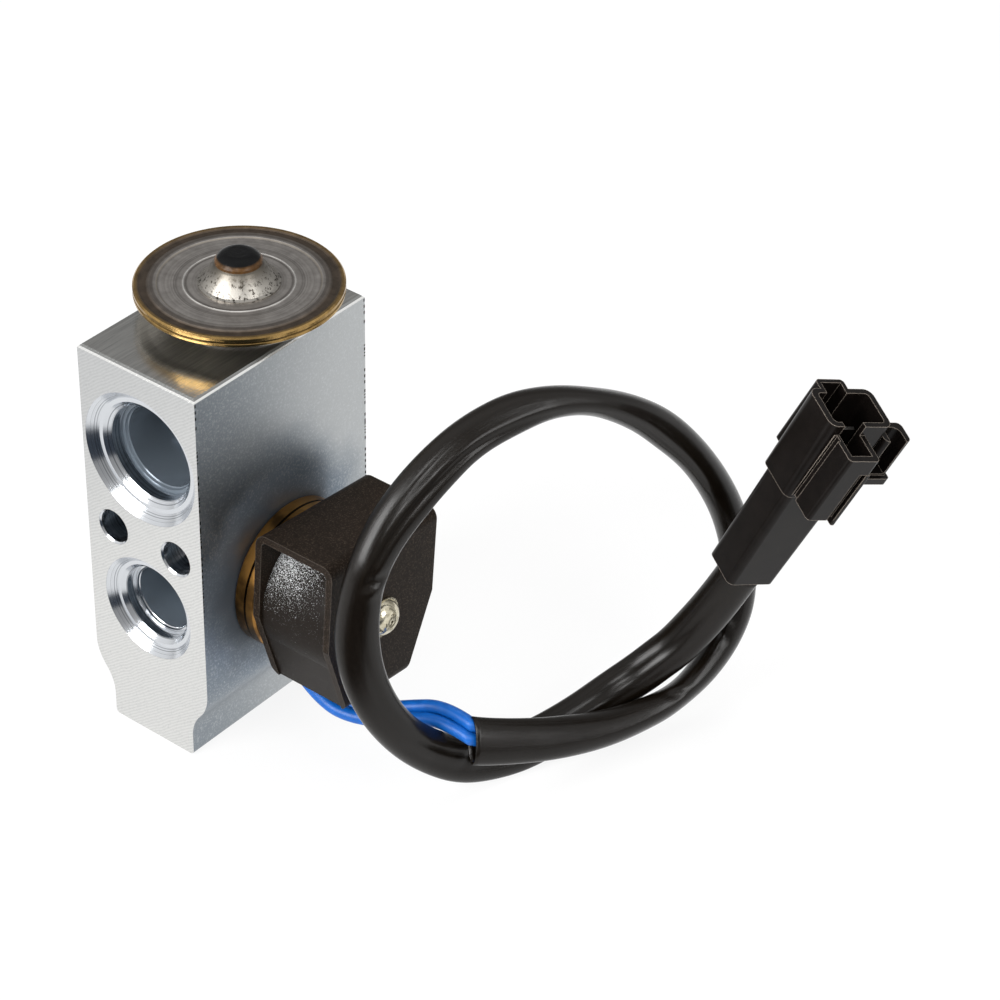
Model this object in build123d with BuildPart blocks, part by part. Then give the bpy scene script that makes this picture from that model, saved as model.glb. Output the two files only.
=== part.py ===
from build123d import *
import math
import os

os.makedirs("parts", exist_ok=True)

# Frame: +Z up, origin at the centre of the foot face. The large pipe ports
# open towards -Y, the solenoid stands on the +X side. All lengths in mm.

# Block
BLOCK_W = 30.0
BLOCK_D = 48.0
BLOCK_H = 87.0
HX = BLOCK_W / 2
HY = BLOCK_D / 2
FOOT_W = 21.2
FOOT_BEND_TOP = 17.0
FOOT_BEND_RISE = 12.0
FOOT_CORNER_R = 1.0
TOP_EDGE_BEVEL = 0.7

# Pipe ports: (depth from the face, radius) down to the passage bore
UPPER_Z = 67.0
UPPER_STEPS = [(0.0, 14.2), (1.8, 12.3), (1.8, 11.4), (3.0, 10.1), (5.5, 9.8), (5.5, 9.1), (6.0, 8.9)]
UPPER_BORE_R = 8.7
UPPER_BORE_END = 16.0
UPPER_MID_R = 6.8
LOWER_Z = 31.6
LOWER_STEPS = [(0.0, 11.3), (1.6, 9.7), (1.6, 8.9), (2.5, 8.0), (4.4, 7.8), (4.4, 7.1), (4.8, 7.0)]
LOWER_BORE_R = 6.85
FRONT_LOWER_END = -11.0
REAR_LOWER_END = 12.0

# Through holes for the two clamping bolts
BOLT_HOLE_R = 3.5
BOLT_SPACING = 16.4
BOLT_Z = 47.5
BOLT_CHAMFER = 0.35

# Valve stem line
STEM_Y = 5.0
BALL_R = 2.9
CHAMBER_R = 4.6
CHAMBER_FLOOR = 16.0
CONE_Z = 36.0
THROAT_R = 1.9
THROAT_TOP = 47.0
ROD_R = 2.8
ROD_FIT = 0.05
ROD_GROOVE_R = 4.3
ROD_GROOVE_LOW = 53.9
ROD_GROOVE_TOP = 55.7
PIN_R = 1.2
PIN_TOP = 49.0
VAPOUR_HOLE_R = 4.0
SEAT_GAP = 0.15
STROKE = 0.8

# Power head
HEAD_BORE_R = 9.5
HEAD_BORE_DEPTH = 9.0
SEAL_GROOVE = 1.6
NECK_FIT = 0.08
HEAD_R = 20.3
RIM_LIFT = 4.0
RIM_LOWER_H = 1.0
RIM_H = 2.2
RIM_BEVEL = 0.35
DISC_T = 0.5
DIAPHRAGM_T = 0.15
CONE_BASE_R = 8.0
CONE_TOP_R = 4.9
CONE_H = 4.2
CAP_R = 4.6
CAP_H = 2.1
HEAD_BORE_FLOOR = BLOCK_H - HEAD_BORE_DEPTH
RIM_BOTTOM = BLOCK_H + RIM_LIFT
DIAPHRAGM_Z = RIM_BOTTOM + RIM_LOWER_H
RIM_TOP = RIM_BOTTOM + RIM_H
DISC_Z = RIM_TOP - 0.25
CONE_TOP_Z = RIM_TOP + CONE_H
CAP_TOP_Z = CONE_TOP_Z + CAP_H

# Solenoid line, turned a little about +X
COIL_Z = 35.0
COIL_TURN = -4.5
SOL_BORE_R = 8.0
SOL_BORE_FLOOR = 9.0
SOL_POCKET_R = 5.6
SOL_POCKET_FLOOR = 7.5
PORT_SEAT_X = 8.4
COLLAR_R = 15.5
COLLAR_OUT = 20.1
SHEET = 1.5
YOKE_OUT = 39.4
YOKE_HALF_W = 15.5
YOKE_TOP = 17.8
YOKE_BREAK = -1.2
YOKE_FOOT = 18.3
YOKE_FOOT_HALF_W = 8.9
COIL_R = 14.6
COIL_FOOT = 18.0
TUBE_R = 5.6
TUBE_WALL = 0.55
PLUNGER_FIT = 0.08
PLUNGER_TRAVEL = 1.5
CORE_FACE_X = 31.0

# Lead
WIRE_R = 1.35
SLEEVE_R = 3.6

seat_line = Axis((0, STEM_Y, 0), (0, 0, 1))
coil_a = math.radians(COIL_TURN)
coil_y = Vector(0, math.cos(coil_a), math.sin(coil_a))
COIL = Plane(origin=(0, 0, COIL_Z), x_dir=coil_y, z_dir=(1, 0, 0))
COIL_SIDE = Plane(origin=(0, 0, COIL_Z), x_dir=(1, 0, 0), z_dir=coil_y * -1)
coil_axis = Axis((0, 0, COIL_Z), (1, 0, 0))
bolt_x = BOLT_SPACING / 2


def port_outline(side, z, steps, bore_r, bore_end):
    """Half section of a stepped pipe port in the Y-Z plane, from the face at side*HY inwards."""
    last_depth, last_radius = steps[-1]
    bore_start = last_depth + last_radius - bore_r
    points = [(side * (HY + 0.5), z), (side * (HY + 0.5), z + steps[0][1])]
    for depth, radius in steps + [(bore_start, bore_r)]:
        points.append((side * (HY - depth), z + radius))
    points.append((bore_end, z + bore_r))
    points.append((bore_end, z))
    return points


def arc_middle(cx, cz, r, start, end):
    """Point halfway along an arc given by its centre, radius and end angles in degrees."""
    mid = math.radians((start + end) / 2)
    return (cx + r * math.cos(mid), cz + r * math.sin(mid))


# Block: extruded bar with a narrowed foot, machined ports, stem line and solenoid line
foot_hx = FOOT_W / 2
bend_w = (HX - foot_hx) / 2
bend_h = FOOT_BEND_RISE / 2
bend_r = (bend_w ** 2 + bend_h ** 2) / (2 * bend_w)
bend_angle = math.degrees(math.asin(bend_h / bend_r))
bend_mid = (foot_hx + bend_w, FOOT_BEND_TOP - bend_h)
bend_low = (foot_hx, FOOT_BEND_TOP - FOOT_BEND_RISE)
outer_mid = arc_middle(HX - bend_r, FOOT_BEND_TOP, bend_r, 0, -bend_angle)
inner_mid = arc_middle(foot_hx + bend_r, bend_low[1], bend_r, 180, 180 - bend_angle)

with BuildPart() as valve_block:
    with BuildSketch(Plane.XZ) as block_section:
        with BuildLine():
            Line((0, 0), (foot_hx, 0))
            Line((foot_hx, 0), bend_low)
            ThreePointArc(bend_low, inner_mid, bend_mid)
            ThreePointArc(bend_mid, outer_mid, (HX, FOOT_BEND_TOP))
            Line((HX, FOOT_BEND_TOP), (HX, BLOCK_H))
            Line((HX, BLOCK_H), (0, BLOCK_H))
            Line((0, BLOCK_H), (0, 0))
        make_face()
        mirror(about=Plane.YZ)
    extrude(amount=HY, both=True)
    foot_edges = valve_block.edges().filter_by(Axis.Y).group_by(Axis.Z)[0]
    fillet(foot_edges, radius=FOOT_CORNER_R)
    chamfer(valve_block.faces().sort_by(Axis.Z)[-1].edges(), length=TOP_EDGE_BEVEL)
    # upper passage, right through
    with BuildSketch(Plane.YZ):
        with BuildLine():
            front = port_outline(-1, UPPER_Z, UPPER_STEPS, UPPER_BORE_R, -HY + UPPER_BORE_END)
            back = port_outline(1, UPPER_Z, UPPER_STEPS, UPPER_BORE_R, HY - UPPER_BORE_END)
            mid = [(-HY + UPPER_BORE_END, UPPER_Z + UPPER_MID_R), (HY - UPPER_BORE_END, UPPER_Z + UPPER_MID_R)]
            Polyline(*front[:-1], *mid, *back[:-1][::-1], close=True)
        make_face()
    revolve(axis=Axis((0, 0, UPPER_Z), (0, 1, 0)), mode=Mode.SUBTRACT)
    # lower ports, front and rear
    with BuildSketch(Plane.YZ):
        with BuildLine():
            Polyline(*port_outline(-1, LOWER_Z, LOWER_STEPS, LOWER_BORE_R, FRONT_LOWER_END), close=True)
        make_face()
    revolve(axis=Axis((0, 0, LOWER_Z), (0, 1, 0)), mode=Mode.SUBTRACT)
    with BuildSketch(Plane.YZ):
        with BuildLine():
            Polyline(*port_outline(1, LOWER_Z, LOWER_STEPS, LOWER_BORE_R, REAR_LOWER_END), close=True)
        make_face()
    revolve(axis=Axis((0, 0, LOWER_Z), (0, 1, 0)), mode=Mode.SUBTRACT)
    # bolt holes with a broken edge at both faces
    with BuildSketch(Plane.XZ):
        with Locations((-bolt_x, BOLT_Z), (bolt_x, BOLT_Z)):
            Circle(BOLT_HOLE_R)
    extrude(amount=HY + 1, both=True, mode=Mode.SUBTRACT)
    for face_y, turn in ((-HY, 1), (HY, -1)):
        with BuildSketch(Plane(origin=(0, face_y, BOLT_Z), x_dir=(1, 0, 0), z_dir=(0, turn, 0))):
            with Locations((-bolt_x, 0), (bolt_x, 0)):
                Circle(BOLT_HOLE_R + BOLT_CHAMFER)
        extrude(amount=BOLT_CHAMFER, taper=45, mode=Mode.SUBTRACT)
    # stem line: screw bore, ball chamber, cone, throat, rod guide, vapour hole, head bore
    with BuildSketch(Plane.YZ):
        with BuildLine():
            Polyline(
                (STEM_Y, -0.5),
                (STEM_Y + 6.5, -0.5),
                (STEM_Y + 6.5, CHAMBER_FLOOR),
                (STEM_Y + CHAMBER_R, CHAMBER_FLOOR),
                (STEM_Y + CHAMBER_R, CONE_Z),
                (STEM_Y + THROAT_R, CONE_Z + CHAMBER_R - THROAT_R),
                (STEM_Y + THROAT_R, THROAT_TOP),
                (STEM_Y + ROD_R + ROD_FIT, THROAT_TOP),
                (STEM_Y + ROD_R + ROD_FIT, ROD_GROOVE_LOW),
                (STEM_Y + ROD_GROOVE_R, ROD_GROOVE_LOW),
                (STEM_Y + ROD_GROOVE_R, ROD_GROOVE_TOP),
                (STEM_Y + ROD_R + ROD_FIT, ROD_GROOVE_TOP),
                (STEM_Y + ROD_R + ROD_FIT, UPPER_Z),
                (STEM_Y + VAPOUR_HOLE_R, UPPER_Z),
                (STEM_Y + VAPOUR_HOLE_R, HEAD_BORE_FLOOR),
                (STEM_Y + HEAD_BORE_R, HEAD_BORE_FLOOR),
                (STEM_Y + HEAD_BORE_R, BLOCK_H - SEAL_GROOVE),
                (STEM_Y + HEAD_BORE_R + 2.1, BLOCK_H - SEAL_GROOVE),
                (STEM_Y + HEAD_BORE_R + 2.1, BLOCK_H + 0.5),
                (STEM_Y, BLOCK_H + 0.5),
                close=True,
            )
        make_face()
    revolve(axis=seat_line, mode=Mode.SUBTRACT)
    # outlet drill from the rear lower port up into the throat
    outlet_from = Vector(0, 14.0, 35.5)
    outlet_to = Vector(0, STEM_Y, 45.5)
    with BuildSketch(Plane(origin=outlet_from, z_dir=outlet_to - outlet_from)):
        Circle(1.9)
    extrude(amount=(outlet_to - outlet_from).length, mode=Mode.SUBTRACT)
    # solenoid bore with a raised seat at its floor
    with BuildSketch(Plane.YZ.offset(SOL_BORE_FLOOR)):
        with Locations((0, COIL_Z)):
            Circle(SOL_BORE_R)
    extrude(amount=HX - SOL_BORE_FLOOR + 0.5, mode=Mode.SUBTRACT)
    with BuildSketch(Plane.YZ.offset(SOL_POCKET_FLOOR)):
        with Locations((0, COIL_Z)):
            Circle(SOL_POCKET_R)
    extrude(amount=SOL_BORE_FLOOR - SOL_POCKET_FLOOR, mode=Mode.SUBTRACT)
    with BuildSketch(Plane.YZ.offset(SOL_POCKET_FLOOR)):
        with Locations((0, COIL_Z)):
            Circle(2.3)
    extrude(amount=PORT_SEAT_X - SOL_POCKET_FLOOR)
    with BuildSketch(Plane.YZ.offset(5.0)):
        with Locations((0, COIL_Z)):
            Circle(1.5)
    extrude(amount=PORT_SEAT_X - 5.0, mode=Mode.SUBTRACT)
    pilot_from = Vector(5.8, 0, COIL_Z)
    pilot_to = Vector(0.5, STEM_Y - 0.8, COIL_Z - 5.5)
    with BuildSketch(Plane(origin=pilot_from, z_dir=pilot_to - pilot_from)):
        Circle(1.4)
    extrude(amount=(pilot_to - pilot_from).length, mode=Mode.SUBTRACT)
    # feed drill from the front lower port to the ring space round the raised seat
    feed_from = Vector(2.5, -12.0, 32.6)
    feed_to = Vector(8.6, -4.1, 35.2)
    with BuildSketch(Plane(origin=feed_from, z_dir=feed_to - feed_from)):
        Circle(1.6)
    extrude(amount=(feed_to - feed_from).length, mode=Mode.SUBTRACT)
valve_block.part.label = "valve_block"
export_step(valve_block.part, "parts/valve_block.step")


def ring_of_revolution(points):
    """Sketch a half section given as (radius, z) on the stem line and return it ready to revolve."""
    return [(STEM_Y + radius, z) for radius, z in points]


# Power head, from the neck upwards
NECK_WALL = 3.0
NECK_FLANGE = 2.9
neck_r = HEAD_BORE_R - NECK_FIT
neck_foot = HEAD_BORE_FLOOR + 0.6
dish_h = 0.6 * RIM_LIFT
with BuildPart() as head_lower_shell:
    with BuildSketch(Plane.YZ):
        with BuildLine():
            Polyline(
                *ring_of_revolution([
                    (neck_r - NECK_WALL, neck_foot),
                    (neck_r - 0.6, neck_foot),
                    (neck_r, neck_foot + 0.6),
                    (neck_r, BLOCK_H - 0.1),
                    (neck_r + NECK_FLANGE, BLOCK_H + 0.3),
                    (neck_r + NECK_FLANGE, RIM_BOTTOM - dish_h),
                    (HEAD_R - 2.7, RIM_BOTTOM),
                    (HEAD_R - RIM_BEVEL, RIM_BOTTOM),
                    (HEAD_R, RIM_BOTTOM + RIM_BEVEL),
                    (HEAD_R, DIAPHRAGM_Z - 0.2),
                    (HEAD_R - 0.3, DIAPHRAGM_Z),
                    (HEAD_R - 4.7, DIAPHRAGM_Z),
                    (neck_r + NECK_FLANGE - 0.1, DIAPHRAGM_Z - dish_h),
                    (neck_r - NECK_WALL, DIAPHRAGM_Z - dish_h - 0.4),
                ]),
                close=True,
            )
        make_face()
    revolve(axis=seat_line)
head_lower_shell.part.label = "head_lower_shell"
export_step(head_lower_shell.part, "parts/head_lower_shell.step")

with BuildPart() as diaphragm:
    with BuildSketch(Plane.XY.offset(DIAPHRAGM_Z)):
        with Locations((0, STEM_Y)):
            Circle(HEAD_R - 0.5)
    extrude(amount=DIAPHRAGM_T)
diaphragm.part.label = "diaphragm"
export_step(diaphragm.part, "parts/diaphragm.step")

disc_base = DIAPHRAGM_Z + DIAPHRAGM_T
FILL_HOLE_R = 1.6
with BuildPart() as head_upper_shell:
    with BuildSketch(Plane.YZ):
        with BuildLine():
            Polyline(
                *ring_of_revolution([
                    (FILL_HOLE_R, DISC_Z),
                    (CONE_BASE_R + 2.4, DISC_Z),
                    (CONE_BASE_R + 2.7, DISC_Z + 0.15),
                    (CONE_BASE_R + 3.0, DISC_Z),
                    (HEAD_R - 4.8, DISC_Z),
                    (HEAD_R - 4.3, RIM_TOP),
                    (HEAD_R - 2.9, RIM_TOP),
                    (HEAD_R - 2.5, DISC_Z),
                    (HEAD_R - 1.3, DISC_Z),
                    (HEAD_R - 0.9, RIM_TOP),
                    (HEAD_R - 0.3, RIM_TOP),
                    (HEAD_R, RIM_TOP - 0.3),
                    (HEAD_R, disc_base + 0.2),
                    (HEAD_R - 0.3, disc_base),
                    (HEAD_R - 5.3, disc_base),
                    (HEAD_R - 5.9, DISC_Z - DISC_T),
                    (FILL_HOLE_R, DISC_Z - DISC_T),
                ]),
                close=True,
            )
        make_face()
    revolve(axis=seat_line)
head_upper_shell.part.label = "head_upper_shell"
export_step(head_upper_shell.part, "parts/head_upper_shell.step")

with BuildPart() as charge_boss:
    with BuildSketch(Plane.YZ):
        with BuildLine():
            Polyline(
                *ring_of_revolution([
                    (0, DISC_Z),
                    (CONE_BASE_R, DISC_Z),
                    (CONE_BASE_R, DISC_Z + 0.3),
                    (CONE_BASE_R - 0.5, DISC_Z + 0.55),
                    (CONE_TOP_R, CONE_TOP_Z - 0.3),
                    (CONE_TOP_R - 0.3, CONE_TOP_Z),
                    (0, CONE_TOP_Z),
                ]),
                close=True,
            )
        make_face()
    revolve(axis=seat_line)
charge_boss.part.label = "charge_boss"
export_step(charge_boss.part, "parts/charge_boss.step")

cap_side = 0.25 * CAP_H
cap_round = 0.63 * CAP_R
with BuildPart() as charge_cap:
    with BuildSketch(Plane.YZ):
        with BuildLine():
            Line((STEM_Y, CONE_TOP_Z), (STEM_Y + CAP_R, CONE_TOP_Z))
            Line((STEM_Y + CAP_R, CONE_TOP_Z), (STEM_Y + CAP_R, CONE_TOP_Z + cap_side))
            ThreePointArc(
                (STEM_Y + CAP_R, CONE_TOP_Z + cap_side),
                (STEM_Y + CAP_R - 0.3 * cap_round, CAP_TOP_Z - 0.36 * (CAP_H - cap_side)),
                (STEM_Y + CAP_R - cap_round, CAP_TOP_Z),
            )
            Line((STEM_Y + CAP_R - cap_round, CAP_TOP_Z), (STEM_Y, CAP_TOP_Z))
            Line((STEM_Y, CAP_TOP_Z), (STEM_Y, CONE_TOP_Z))
        make_face()
    revolve(axis=seat_line)
charge_cap.part.label = "charge_cap"
export_step(charge_cap.part, "parts/charge_cap.step")

seal_r = 0.75
with BuildPart() as head_seal_ring:
    with BuildSketch(Plane.YZ):
        with Locations((STEM_Y + HEAD_BORE_R + seal_r, BLOCK_H - SEAL_GROOVE + seal_r)):
            Circle(seal_r)
    revolve(axis=seat_line)
head_seal_ring.part.label = "head_seal_ring"
export_step(head_seal_ring.part, "parts/head_seal_ring.step")

# Moving stem: plate, rod, ball and its carrier
ball_z = CONE_Z + CHAMBER_R - (BALL_R + SEAT_GAP) * math.sqrt(2)
rod_top = BLOCK_H + 1.0
with BuildPart() as thrust_plate:
    with BuildSketch(Plane.YZ):
        with BuildLine():
            Polyline(
                *ring_of_revolution([
                    (0, rod_top),
                    (5.0, rod_top),
                    (5.4, rod_top + 0.4),
                    (5.4, DIAPHRAGM_Z - 1.4),
                    (11.4, DIAPHRAGM_Z - 1.1),
                    (11.4, DIAPHRAGM_Z - 0.5),
                    (10.6, DIAPHRAGM_Z),
                    (0, DIAPHRAGM_Z),
                ]),
                close=True,
            )
        make_face()
    revolve(axis=seat_line)
thrust_plate.part.label = "thrust_plate"
export_step(thrust_plate.part, "parts/thrust_plate.step")

with BuildPart() as sensing_rod:
    with BuildSketch(Plane.YZ):
        with BuildLine():
            Polyline(
                *ring_of_revolution([
                    (0, ball_z + BALL_R),
                    (PIN_R, ball_z + BALL_R),
                    (PIN_R, PIN_TOP),
                    (ROD_R - 0.4, PIN_TOP),
                    (ROD_R, PIN_TOP + 0.4),
                    (ROD_R, rod_top - 0.4),
                    (ROD_R - 0.4, rod_top),
                    (0, rod_top),
                ]),
                close=True,
            )
        make_face()
    revolve(axis=seat_line)
sensing_rod.part.label = "sensing_rod"
export_step(sensing_rod.part, "parts/sensing_rod.step")

ring_section = 0.7
with BuildPart() as rod_o_ring:
    with BuildSketch(Plane.YZ):
        with Locations((STEM_Y + ROD_R + 0.03 + ring_section, (ROD_GROOVE_LOW + ROD_GROOVE_TOP) / 2)):
            Circle(ring_section)
    revolve(axis=seat_line)
rod_o_ring.part.label = "rod_o_ring"
export_step(rod_o_ring.part, "parts/rod_o_ring.step")

with BuildPart() as valve_ball:
    with BuildSketch(Plane.YZ):
        with BuildLine():
            Line((STEM_Y, ball_z - BALL_R), (STEM_Y, ball_z + BALL_R))
            ThreePointArc((STEM_Y, ball_z + BALL_R), (STEM_Y + BALL_R, ball_z), (STEM_Y, ball_z - BALL_R))
        make_face()
    revolve(axis=seat_line)
valve_ball.part.label = "valve_ball"
export_step(valve_ball.part, "parts/valve_ball.step")

spring_top = 30.6
cup_depth = 1.1
cup_r = math.sqrt(BALL_R ** 2 - (BALL_R - cup_depth) ** 2)
cup_top = ball_z - BALL_R + cup_depth
with BuildPart() as ball_carrier:
    with BuildSketch(Plane.YZ):
        with BuildLine():
            Polyline(
                (STEM_Y + cup_r, cup_top),
                (STEM_Y + 3.1, cup_top),
                (STEM_Y + 3.1, spring_top + 1.4),
                (STEM_Y + 4.1, spring_top + 1.4),
                (STEM_Y + 4.1, spring_top),
                (STEM_Y + 2.3, spring_top),
                (STEM_Y + 2.3, spring_top - 2.6),
                (STEM_Y + 2.0, spring_top - 3.0),
                (STEM_Y, spring_top - 3.0),
                (STEM_Y, ball_z - BALL_R),
            )
            RadiusArc((STEM_Y, ball_z - BALL_R), (STEM_Y + cup_r, cup_top), -BALL_R)
        make_face()
    revolve(axis=seat_line)
ball_carrier.part.label = "ball_carrier"
export_step(ball_carrier.part, "parts/ball_carrier.step")


def coil_spring_path(mean_r, wire_r, low, high, turns):
    """Helix whose wire just fits between the levels low and high."""
    height = high - low - 2 * wire_r
    return Helix(pitch=height / turns, height=height, radius=mean_r)


# Springs and the adjusting screw
screw_top = 15.2
with BuildPart() as valve_spring:
    with BuildLine(Plane.XY):
        spring_line = coil_spring_path(3.2, 0.45, screw_top, spring_top, 4)
    with BuildSketch(Plane(origin=spring_line @ 0, z_dir=spring_line % 0)):
        Circle(0.45)
    sweep(path=spring_line, is_frenet=True)
valve_spring.part = valve_spring.part.moved(Location((0, STEM_Y, screw_top + 0.45)))
valve_spring.part.label = "valve_spring"
export_step(valve_spring.part, "parts/valve_spring.step")

with BuildPart() as adjusting_screw:
    with BuildSketch(Plane.YZ):
        with BuildLine():
            Polyline(
                *ring_of_revolution([
                    (0, 2.4),
                    (5.9, 2.4),
                    (6.42, 2.9),
                    (6.42, 11.0),
                    (5.0, 11.0),
                    (5.0, 13.0),
                    (6.42, 13.0),
                    (6.42, screw_top),
                    (2.3, screw_top),
                    (2.3, screw_top + 2.4),
                    (0, screw_top + 2.4),
                ]),
                close=True,
            )
        make_face()
    revolve(axis=seat_line)
    with BuildSketch(Plane.XY.offset(2.4)):
        with Locations((0, STEM_Y)):
            RegularPolygon(radius=3.0, side_count=6, major_radius=False)
    extrude(amount=4.5, mode=Mode.SUBTRACT)
adjusting_screw.part.label = "adjusting_screw"
export_step(adjusting_screw.part, "parts/adjusting_screw.step")

with BuildPart() as adjusting_screw_o_ring:
    with BuildSketch(Plane.YZ):
        with Locations((STEM_Y + 5.72, 12.0)):
            Circle(ring_section)
    revolve(axis=seat_line)
adjusting_screw_o_ring.part.label = "adjusting_screw_o_ring"
export_step(adjusting_screw_o_ring.part, "parts/adjusting_screw_o_ring.step")


def on_coil_line(points):
    """Half section given as (x, radius) about the solenoid line, in the X-Z plane of the coil."""
    return [(x, radius) for x, radius in points]


# Solenoid
tube_in = TUBE_R - TUBE_WALL
with BuildPart() as solenoid_collar:
    with BuildSketch(COIL_SIDE):
        with BuildLine():
            Polyline(
                *on_coil_line([
                    (9.3, tube_in + 0.03),
                    (9.3, SOL_BORE_R - 0.7),
                    (9.9, SOL_BORE_R - 0.08),
                    (12.0, SOL_BORE_R - 0.08),
                    (12.0, 6.9),
                    (13.9, 6.9),
                    (13.9, SOL_BORE_R - 0.08),
                    (HX, SOL_BORE_R - 0.08),
                    (HX, COLLAR_R - 0.4),
                    (HX + 0.4, COLLAR_R),
                    (17.6, COLLAR_R),
                    (17.8, COLLAR_R - 0.25),
                    (18.0, COLLAR_R),
                    (COLLAR_OUT - 0.4, COLLAR_R),
                    (COLLAR_OUT, COLLAR_R - 0.4),
                    (COLLAR_OUT, TUBE_R),
                    (11.9, TUBE_R),
                    (11.9, tube_in + 0.03),
                ]),
                close=True,
            )
        make_face()
    revolve(axis=coil_axis)
solenoid_collar.part.label = "solenoid_collar"
export_step(solenoid_collar.part, "parts/solenoid_collar.step")

with BuildPart() as collar_o_ring:
    with BuildSketch(COIL_SIDE):
        with Locations((12.95, SOL_BORE_R - 0.52)):
            Circle(0.5)
    revolve(axis=coil_axis)
collar_o_ring.part.label = "collar_o_ring"
export_step(collar_o_ring.part, "parts/collar_o_ring.step")

yoke_in = YOKE_OUT - SHEET
with BuildPart() as plunger_tube:
    with BuildSketch(Plane.YZ.offset(11.9)):
        with Locations((0, COIL_Z)):
            Circle(TUBE_R)
            Circle(tube_in, mode=Mode.SUBTRACT)
    extrude(amount=yoke_in - 11.9)
plunger_tube.part.label = "plunger_tube"
export_step(plunger_tube.part, "parts/plunger_tube.step")

with BuildPart() as fixed_core:
    with BuildSketch(Plane.YZ.offset(CORE_FACE_X)):
        with Locations((0, COIL_Z)):
            Circle(tube_in - 0.03)
    extrude(amount=yoke_in - CORE_FACE_X)
    with BuildSketch(Plane.YZ.offset(yoke_in - 5.0)):
        with Locations((0, COIL_Z)):
            Circle(2.0)
    extrude(amount=5.0, mode=Mode.SUBTRACT)
fixed_core.part.label = "fixed_core"
export_step(fixed_core.part, "parts/fixed_core.step")

pad_face = PORT_SEAT_X + 0.1
plunger_back = CORE_FACE_X - PLUNGER_TRAVEL - 0.3
spring_pocket = 8.0
with BuildPart() as plunger:
    with BuildSketch(COIL_SIDE):
        with BuildLine():
            Polyline(
                *on_coil_line([
                    (10.6, 0),
                    (10.6, 2.9),
                    (9.6, 2.9),
                    (9.6, 4.4),
                    (10.1, tube_in - PLUNGER_FIT),
                    (plunger_back - 0.4, tube_in - PLUNGER_FIT),
                    (plunger_back, tube_in - PLUNGER_FIT - 0.4),
                    (plunger_back, 2.5),
                    (plunger_back - spring_pocket, 2.5),
                    (plunger_back - spring_pocket, 0),
                ]),
                close=True,
            )
        make_face()
    revolve(axis=coil_axis)
plunger.part.label = "plunger"
export_step(plunger.part, "parts/plunger.step")

with BuildPart() as plunger_seat_pad:
    with BuildSketch(Plane.YZ.offset(pad_face)):
        with Locations((0, COIL_Z)):
            Circle(2.9)
    extrude(amount=10.6 - pad_face)
plunger_seat_pad.part.label = "plunger_seat_pad"
export_step(plunger_seat_pad.part, "parts/plunger_seat_pad.step")

small_low = plunger_back - spring_pocket
with BuildPart() as plunger_spring:
    with BuildLine(Plane.XY):
        small_line = coil_spring_path(1.8, 0.25, small_low, CORE_FACE_X, 4)
    with BuildSketch(Plane(origin=small_line @ 0, z_dir=small_line % 0)):
        Circle(0.25)
    sweep(path=small_line, is_frenet=True)
plunger_spring.part = plunger_spring.part.moved(
    Location((small_low + 0.25, 0, COIL_Z)) * Location((0, 0, 0), (0, 90, 0))
)
plunger_spring.part.label = "plunger_spring"
export_step(plunger_spring.part, "parts/plunger_spring.step")

yoke_outline = [
    (-YOKE_HALF_W, YOKE_TOP),
    (-YOKE_HALF_W, YOKE_BREAK),
    (-YOKE_FOOT_HALF_W, -YOKE_FOOT),
    (YOKE_FOOT_HALF_W, -YOKE_FOOT),
    (YOKE_HALF_W, YOKE_BREAK),
    (YOKE_HALF_W, YOKE_TOP),
]
yoke_mid_x = (COLLAR_OUT + YOKE_OUT) / 2
with BuildPart() as coil_yoke:
    with BuildSketch(COIL_SIDE):
        with Locations((yoke_mid_x, (YOKE_TOP - YOKE_FOOT) / 2)):
            outer = Rectangle(YOKE_OUT - COLLAR_OUT, YOKE_TOP + YOKE_FOOT)
        fillet(outer.vertices().group_by(Axis.Z)[-1], radius=2.6)
        with Locations((yoke_mid_x, (YOKE_TOP - SHEET - YOKE_FOOT) / 2 - 1)):
            RectangleRounded(
                YOKE_OUT - COLLAR_OUT - 2 * SHEET, YOKE_TOP + YOKE_FOOT - SHEET + 2, 1.1, mode=Mode.SUBTRACT
            )
    extrude(amount=YOKE_HALF_W, both=True)
    with BuildSketch(COIL.offset(COLLAR_OUT - 1)):
        with BuildLine():
            Polyline(*yoke_outline, close=True)
        make_face()
    extrude(amount=YOKE_OUT - COLLAR_OUT + 2, mode=Mode.INTERSECT)
    with BuildSketch(COIL.offset(COLLAR_OUT - 1)):
        Circle(TUBE_R + 0.03)
    extrude(amount=SHEET + 2, mode=Mode.SUBTRACT)
    with BuildSketch(COIL.offset(yoke_in - 1)):
        Circle(2.25)
    extrude(amount=SHEET + 2, mode=Mode.SUBTRACT)
coil_yoke.part.label = "coil_yoke"
export_step(coil_yoke.part, "parts/coil_yoke.step")

coil_from = COLLAR_OUT + SHEET
coil_to = yoke_in
with BuildPart() as coil_body:
    with BuildSketch(COIL.offset(coil_from)):
        Circle(COIL_R)
        with BuildLine():
            Polyline((-14.0, -4.0), (-8.5, -COIL_FOOT), (8.5, -COIL_FOOT), (14.0, -4.0), close=True)
        make_face()
    extrude(amount=coil_to - coil_from)
    with BuildSketch(COIL.offset(coil_from - 1)):
        Circle(TUBE_R + 0.05)
    extrude(amount=coil_to - coil_from + 2, mode=Mode.SUBTRACT)
    with BuildSketch(COIL.offset(coil_from + 1.2)):
        Circle(COIL_R - 1.6)
    extrude(amount=coil_to - coil_from - 2.4, mode=Mode.SUBTRACT)
coil_body.part.label = "coil_body"
export_step(coil_body.part, "parts/coil_body.step")

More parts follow.
